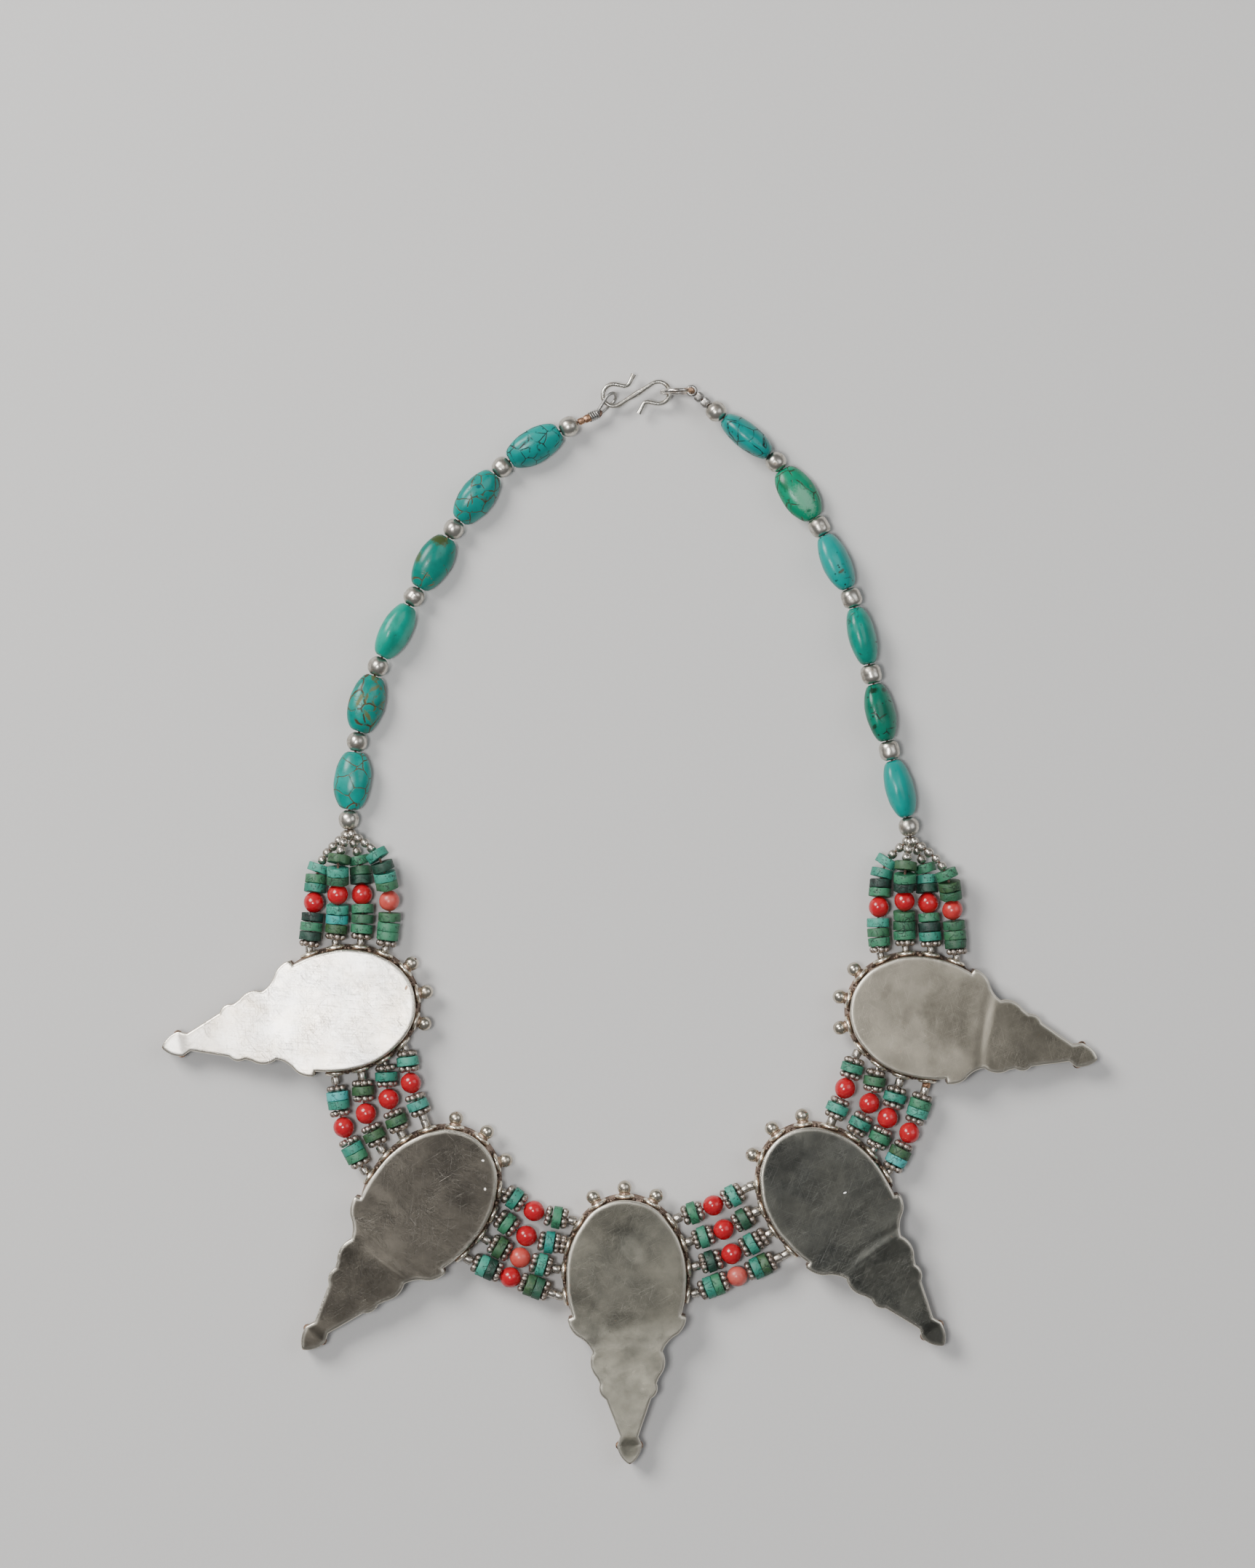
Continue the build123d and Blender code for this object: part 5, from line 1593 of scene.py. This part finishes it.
def loopPoints():
    # a drop: a wide arc, a narrow one and the straight runs between them, in steps of about 0.5 mm
    look = claspLook
    lean = math.asin((look["wide"] - look["narrow"]) / look["span"])
    flat = arc((0, 0), look["wide"], -(math.pi / 2 + lean), math.pi + 2 * lean, 18)
    flat += arc((-look["span"], 0), look["narrow"], math.pi / 2 + lean, math.pi - 2 * lean, 12)
    dense = []
    for first, second in zip(flat, flat[1:] + flat[:1]):
        steps = max(1, int(math.dist(first, second) / 0.5))
        dense += [first, *straight(first, second, steps)[:-1]]
    tilt = math.radians(look["loopTilt"])
    along = heading(look["loopTurn"])
    side = heading(look["loopTurn"] + 90) * math.cos(tilt) + Vector((0, 0, math.sin(tilt)))
    middle = claspPlace(look["loopMiddle"])
    return [middle + along * x + side * y for x, y in dense], middle - along * (look["span"] + look["narrow"])


loopLine, loopBase = loopPoints()
ringMiddle = claspPlace(claspLook["ringMiddle"], claspLook["ringDrop"])
ringSide = heading(claspLook["ringTurn"] - 90) * claspLook["ringRadius"]
ringEnd = ringMiddle + ringSide
ringLine = [ringMiddle + spot for spot in circle(ringSide, Vector((0, 0, claspLook["ringRadius"])), 48)]


def copperRingFinish():
    # silver ring whose end by the thread has a copper tone
    f = Finish("ringWithCopper")
    wear = f.cloud(1.8, 3, 0.6, 0.3)
    metal = f.mixed(wear.fall(0.36, 0.58), (0.84, 0.82, 0.78), (0.36, 0.30, 0.25))
    x = f.value("ShaderNodeSeparateXYZ", {"Vector": f.place})
    share = (x - (ringEnd.x - 2.2) * mm).worked("DIVIDE", 2.0 * mm, True)
    colour = f.mixed(share, metal, (0.62, 0.37, 0.22))
    return f.shade(colour=colour, metal=0.97, rough=wear * 0.2 + 0.14, normal=f.relief(wear, 0.02))


addPiece("hook_wire", makeHook(), silver["hookSilver"], "polished_silver", "s_hook", sharpAngle=60)
addPiece("drop_loop", closedTube(loopLine, claspLook["loopWire"], 12, 0.06, 3), silver["greySilver"],
         "polished_silver", "clasp_loop")
addPiece("round_ring", closedTube(ringLine, claspLook["ringWire"], 14, 0.04, 9), copperRingFinish(),
         "polished_silver", "clasp_ring")

# wire wrap at the loop's base, wire eye at the ring, crimps on both ends of the thread
wrapLook = {"turns": 4, "radius": 0.98, "wire": 0.27, "pitch": 0.56, "steps": 14, "reach": 1.25}
crimpRows = {
    # way out of the bead's end, radius, length, squareness
    "left": ((1.0, 0.82, 1.5, 0.3), (2.7, 0.95, 1.7, 0.2)),
    "right": ((1.1, 1.25, 1.7, 0.7), (3.2, 1.25, 1.7, 0.7)),
}
leftEnd, rightEnd = middleOf("silver_left_1"), middleOf("silver_right_1")


def coil(centre, way, look):
    side = Vector((0, 0, 1)).cross(way).normalized()
    rise = way.cross(side)
    count = look["turns"] * look["steps"]
    points = []
    for step in range(count + 1):
        turn = 2 * math.pi * step / look["steps"]
        along = (step / count - 0.5) * look["turns"] * look["pitch"]
        points.append(centre + way * along + (side * math.cos(turn) + rise * math.sin(turn)) * look["radius"])
    return tube(points, look["wire"], 8)


def crimpAt(centre, way, radius, length, squareness, seed):
    # short collar with slightly pinched sides
    side = [(radius * 0.86, -length / 2), (radius, -length * 0.35)]
    points, faces = lathe(drilled(seedLook["bore"], side, (radius * 1.04, 0)), 20)
    for point in points:
        if math.hypot(point.x, point.y) > 0.5:
            turn = math.atan2(point.y, point.x)
            factor = 1 + squareness * (abs(math.cos(2 * turn)) - 0.5) * 0.5
            factor += 0.05 * noise.noise(point + Vector((seed, 0, 0)))
            point.x *= factor
            point.y *= factor
    return stoodAt((points, faces), centre, way)


def crimpsFrom(end, target, rows):
    way = (target - end).normalized()
    beadEnd = end + way * beadPlan["silverLength"] / 2
    return [crimpAt(beadEnd + way * run, way, *shape, run) for run, *shape in rows]


threadWay = (leftEnd - loopBase).normalized()
wrap = coil(loopBase + threadWay * wrapLook["reach"], threadWay, wrapLook)
eye = [ringEnd + heading(turn) * claspLook["eye"] for turn in range(0, 360, 15)]
brown = [*crimpsFrom(leftEnd, loopBase, crimpRows["left"]),
         crimpAt(*crimpSpot, 0.98, ringCrimp["length"], 0.2, 4.2)]
grey = crimpsFrom(rightEnd, ringEnd, crimpRows["right"])
addPiece("loop_wrap", wrap, silver["greySilver"], "polished_silver")
addPiece("brown_crimps", joined(*brown), silver["brownCopper"], "polished_silver", sharpAngle=50)
addPiece("ring_wire_eye", closedTube(eye, claspLook["eyeWire"], 10, 0.15, 5), silver["greySilver"],
         "polished_silver")
addPiece("silver_crimps", joined(*grey), silver["greySilver"], "polished_silver", sharpAngle=50)

giveFinish("bead_threads", threadFinish())
bed = inlayFinish()
for number in range(5):
    giveFinish(f"pendant_inlay_{number + 1}", bed)
for collection in (discShapes, coralShapes, daisyShapes, seedShapes, sleeveShapes, ringShapes, ballShapes,
                   collarShapes, grainShapes):
    for shape in list(collection.objects):
        bpy.data.objects.remove(shape)
    bpy.data.collections.remove(collection)
print("clasp, threads and inlays finished")


# floor, light and camera

stageLook = {"floor": (0.60, 0.59, 0.58), "size": 9000, "world": 0.20, "sky": (0.80, 0.81, 0.83)}


def floorFinish():
    f = Finish("paleFloor")
    grain = f.cloud(0.9, 3, 0.6)
    tone = stageLook["floor"]
    colour = f.mixed(grain.rise(0.3, 0.7), tone, tuple(part * 0.975 for part in tone))
    return f.shade(colour=colour, rough=0.85, normal=f.relief(grain, 0.03))


half = stageLook["size"] / 2
corners = [(-half, -half, 0), (half, -half, 0), (half, half, 0), (-half, half, 0)]
floor = newObject("floor", newMesh("floor", (corners, [(0, 1, 2, 3)])))
floor.data.materials.append(floorFinish())

lightRows = {
    # place and aim in metres, size, watts, colour
    "keyLight": ((-0.85, 0.75, 0.95), (0, 0, 0), 0.62, 26.0, (1.0, 0.985, 0.96)),
    "fillLight": ((0.95, 0.35, 1.10), (0, 0, 0), 0.9, 5.0, (0.94, 0.97, 1.0)),
    "topLight": ((-0.25, -0.03, 1.27), (-0.07, -0.03, 0), 0.24, 8.0, (1.0, 1.0, 1.0)),
}
for name, (place, aim, size, watts, colour) in lightRows.items():
    lamp = bpy.data.lights.new(name, "AREA")
    lamp.size, lamp.energy, lamp.color = size, watts, colour
    holder = newObject(name, lamp)
    holder.location = place
    holder.rotation_euler = (Vector(aim) - Vector(place)).to_track_quat("-Z", "Y").to_euler()
world = bpy.data.worlds.new("studio")
bpy.context.scene.world = world
world.use_nodes = True
sky = world.node_tree.nodes["Background"].inputs
sky[0].default_value = (*stageLook["sky"], 1)
sky[1].default_value = stageLook["world"]

cameraLook = {"place": (-0.0005, 0.0334), "height": 1.25, "frameTall": 0.3924, "sensor": 36.0}
lens = bpy.data.cameras.new("overhead")
lens.sensor_fit = "VERTICAL"
lens.sensor_height = cameraLook["sensor"]
lens.lens = cameraLook["sensor"] * cameraLook["height"] / cameraLook["frameTall"]
lens.clip_start = 0.01
camera = newObject("overhead", lens)
camera.location = (*cameraLook["place"], cameraLook["height"])
bpy.context.scene.camera = camera
print("floor, lights and camera set")
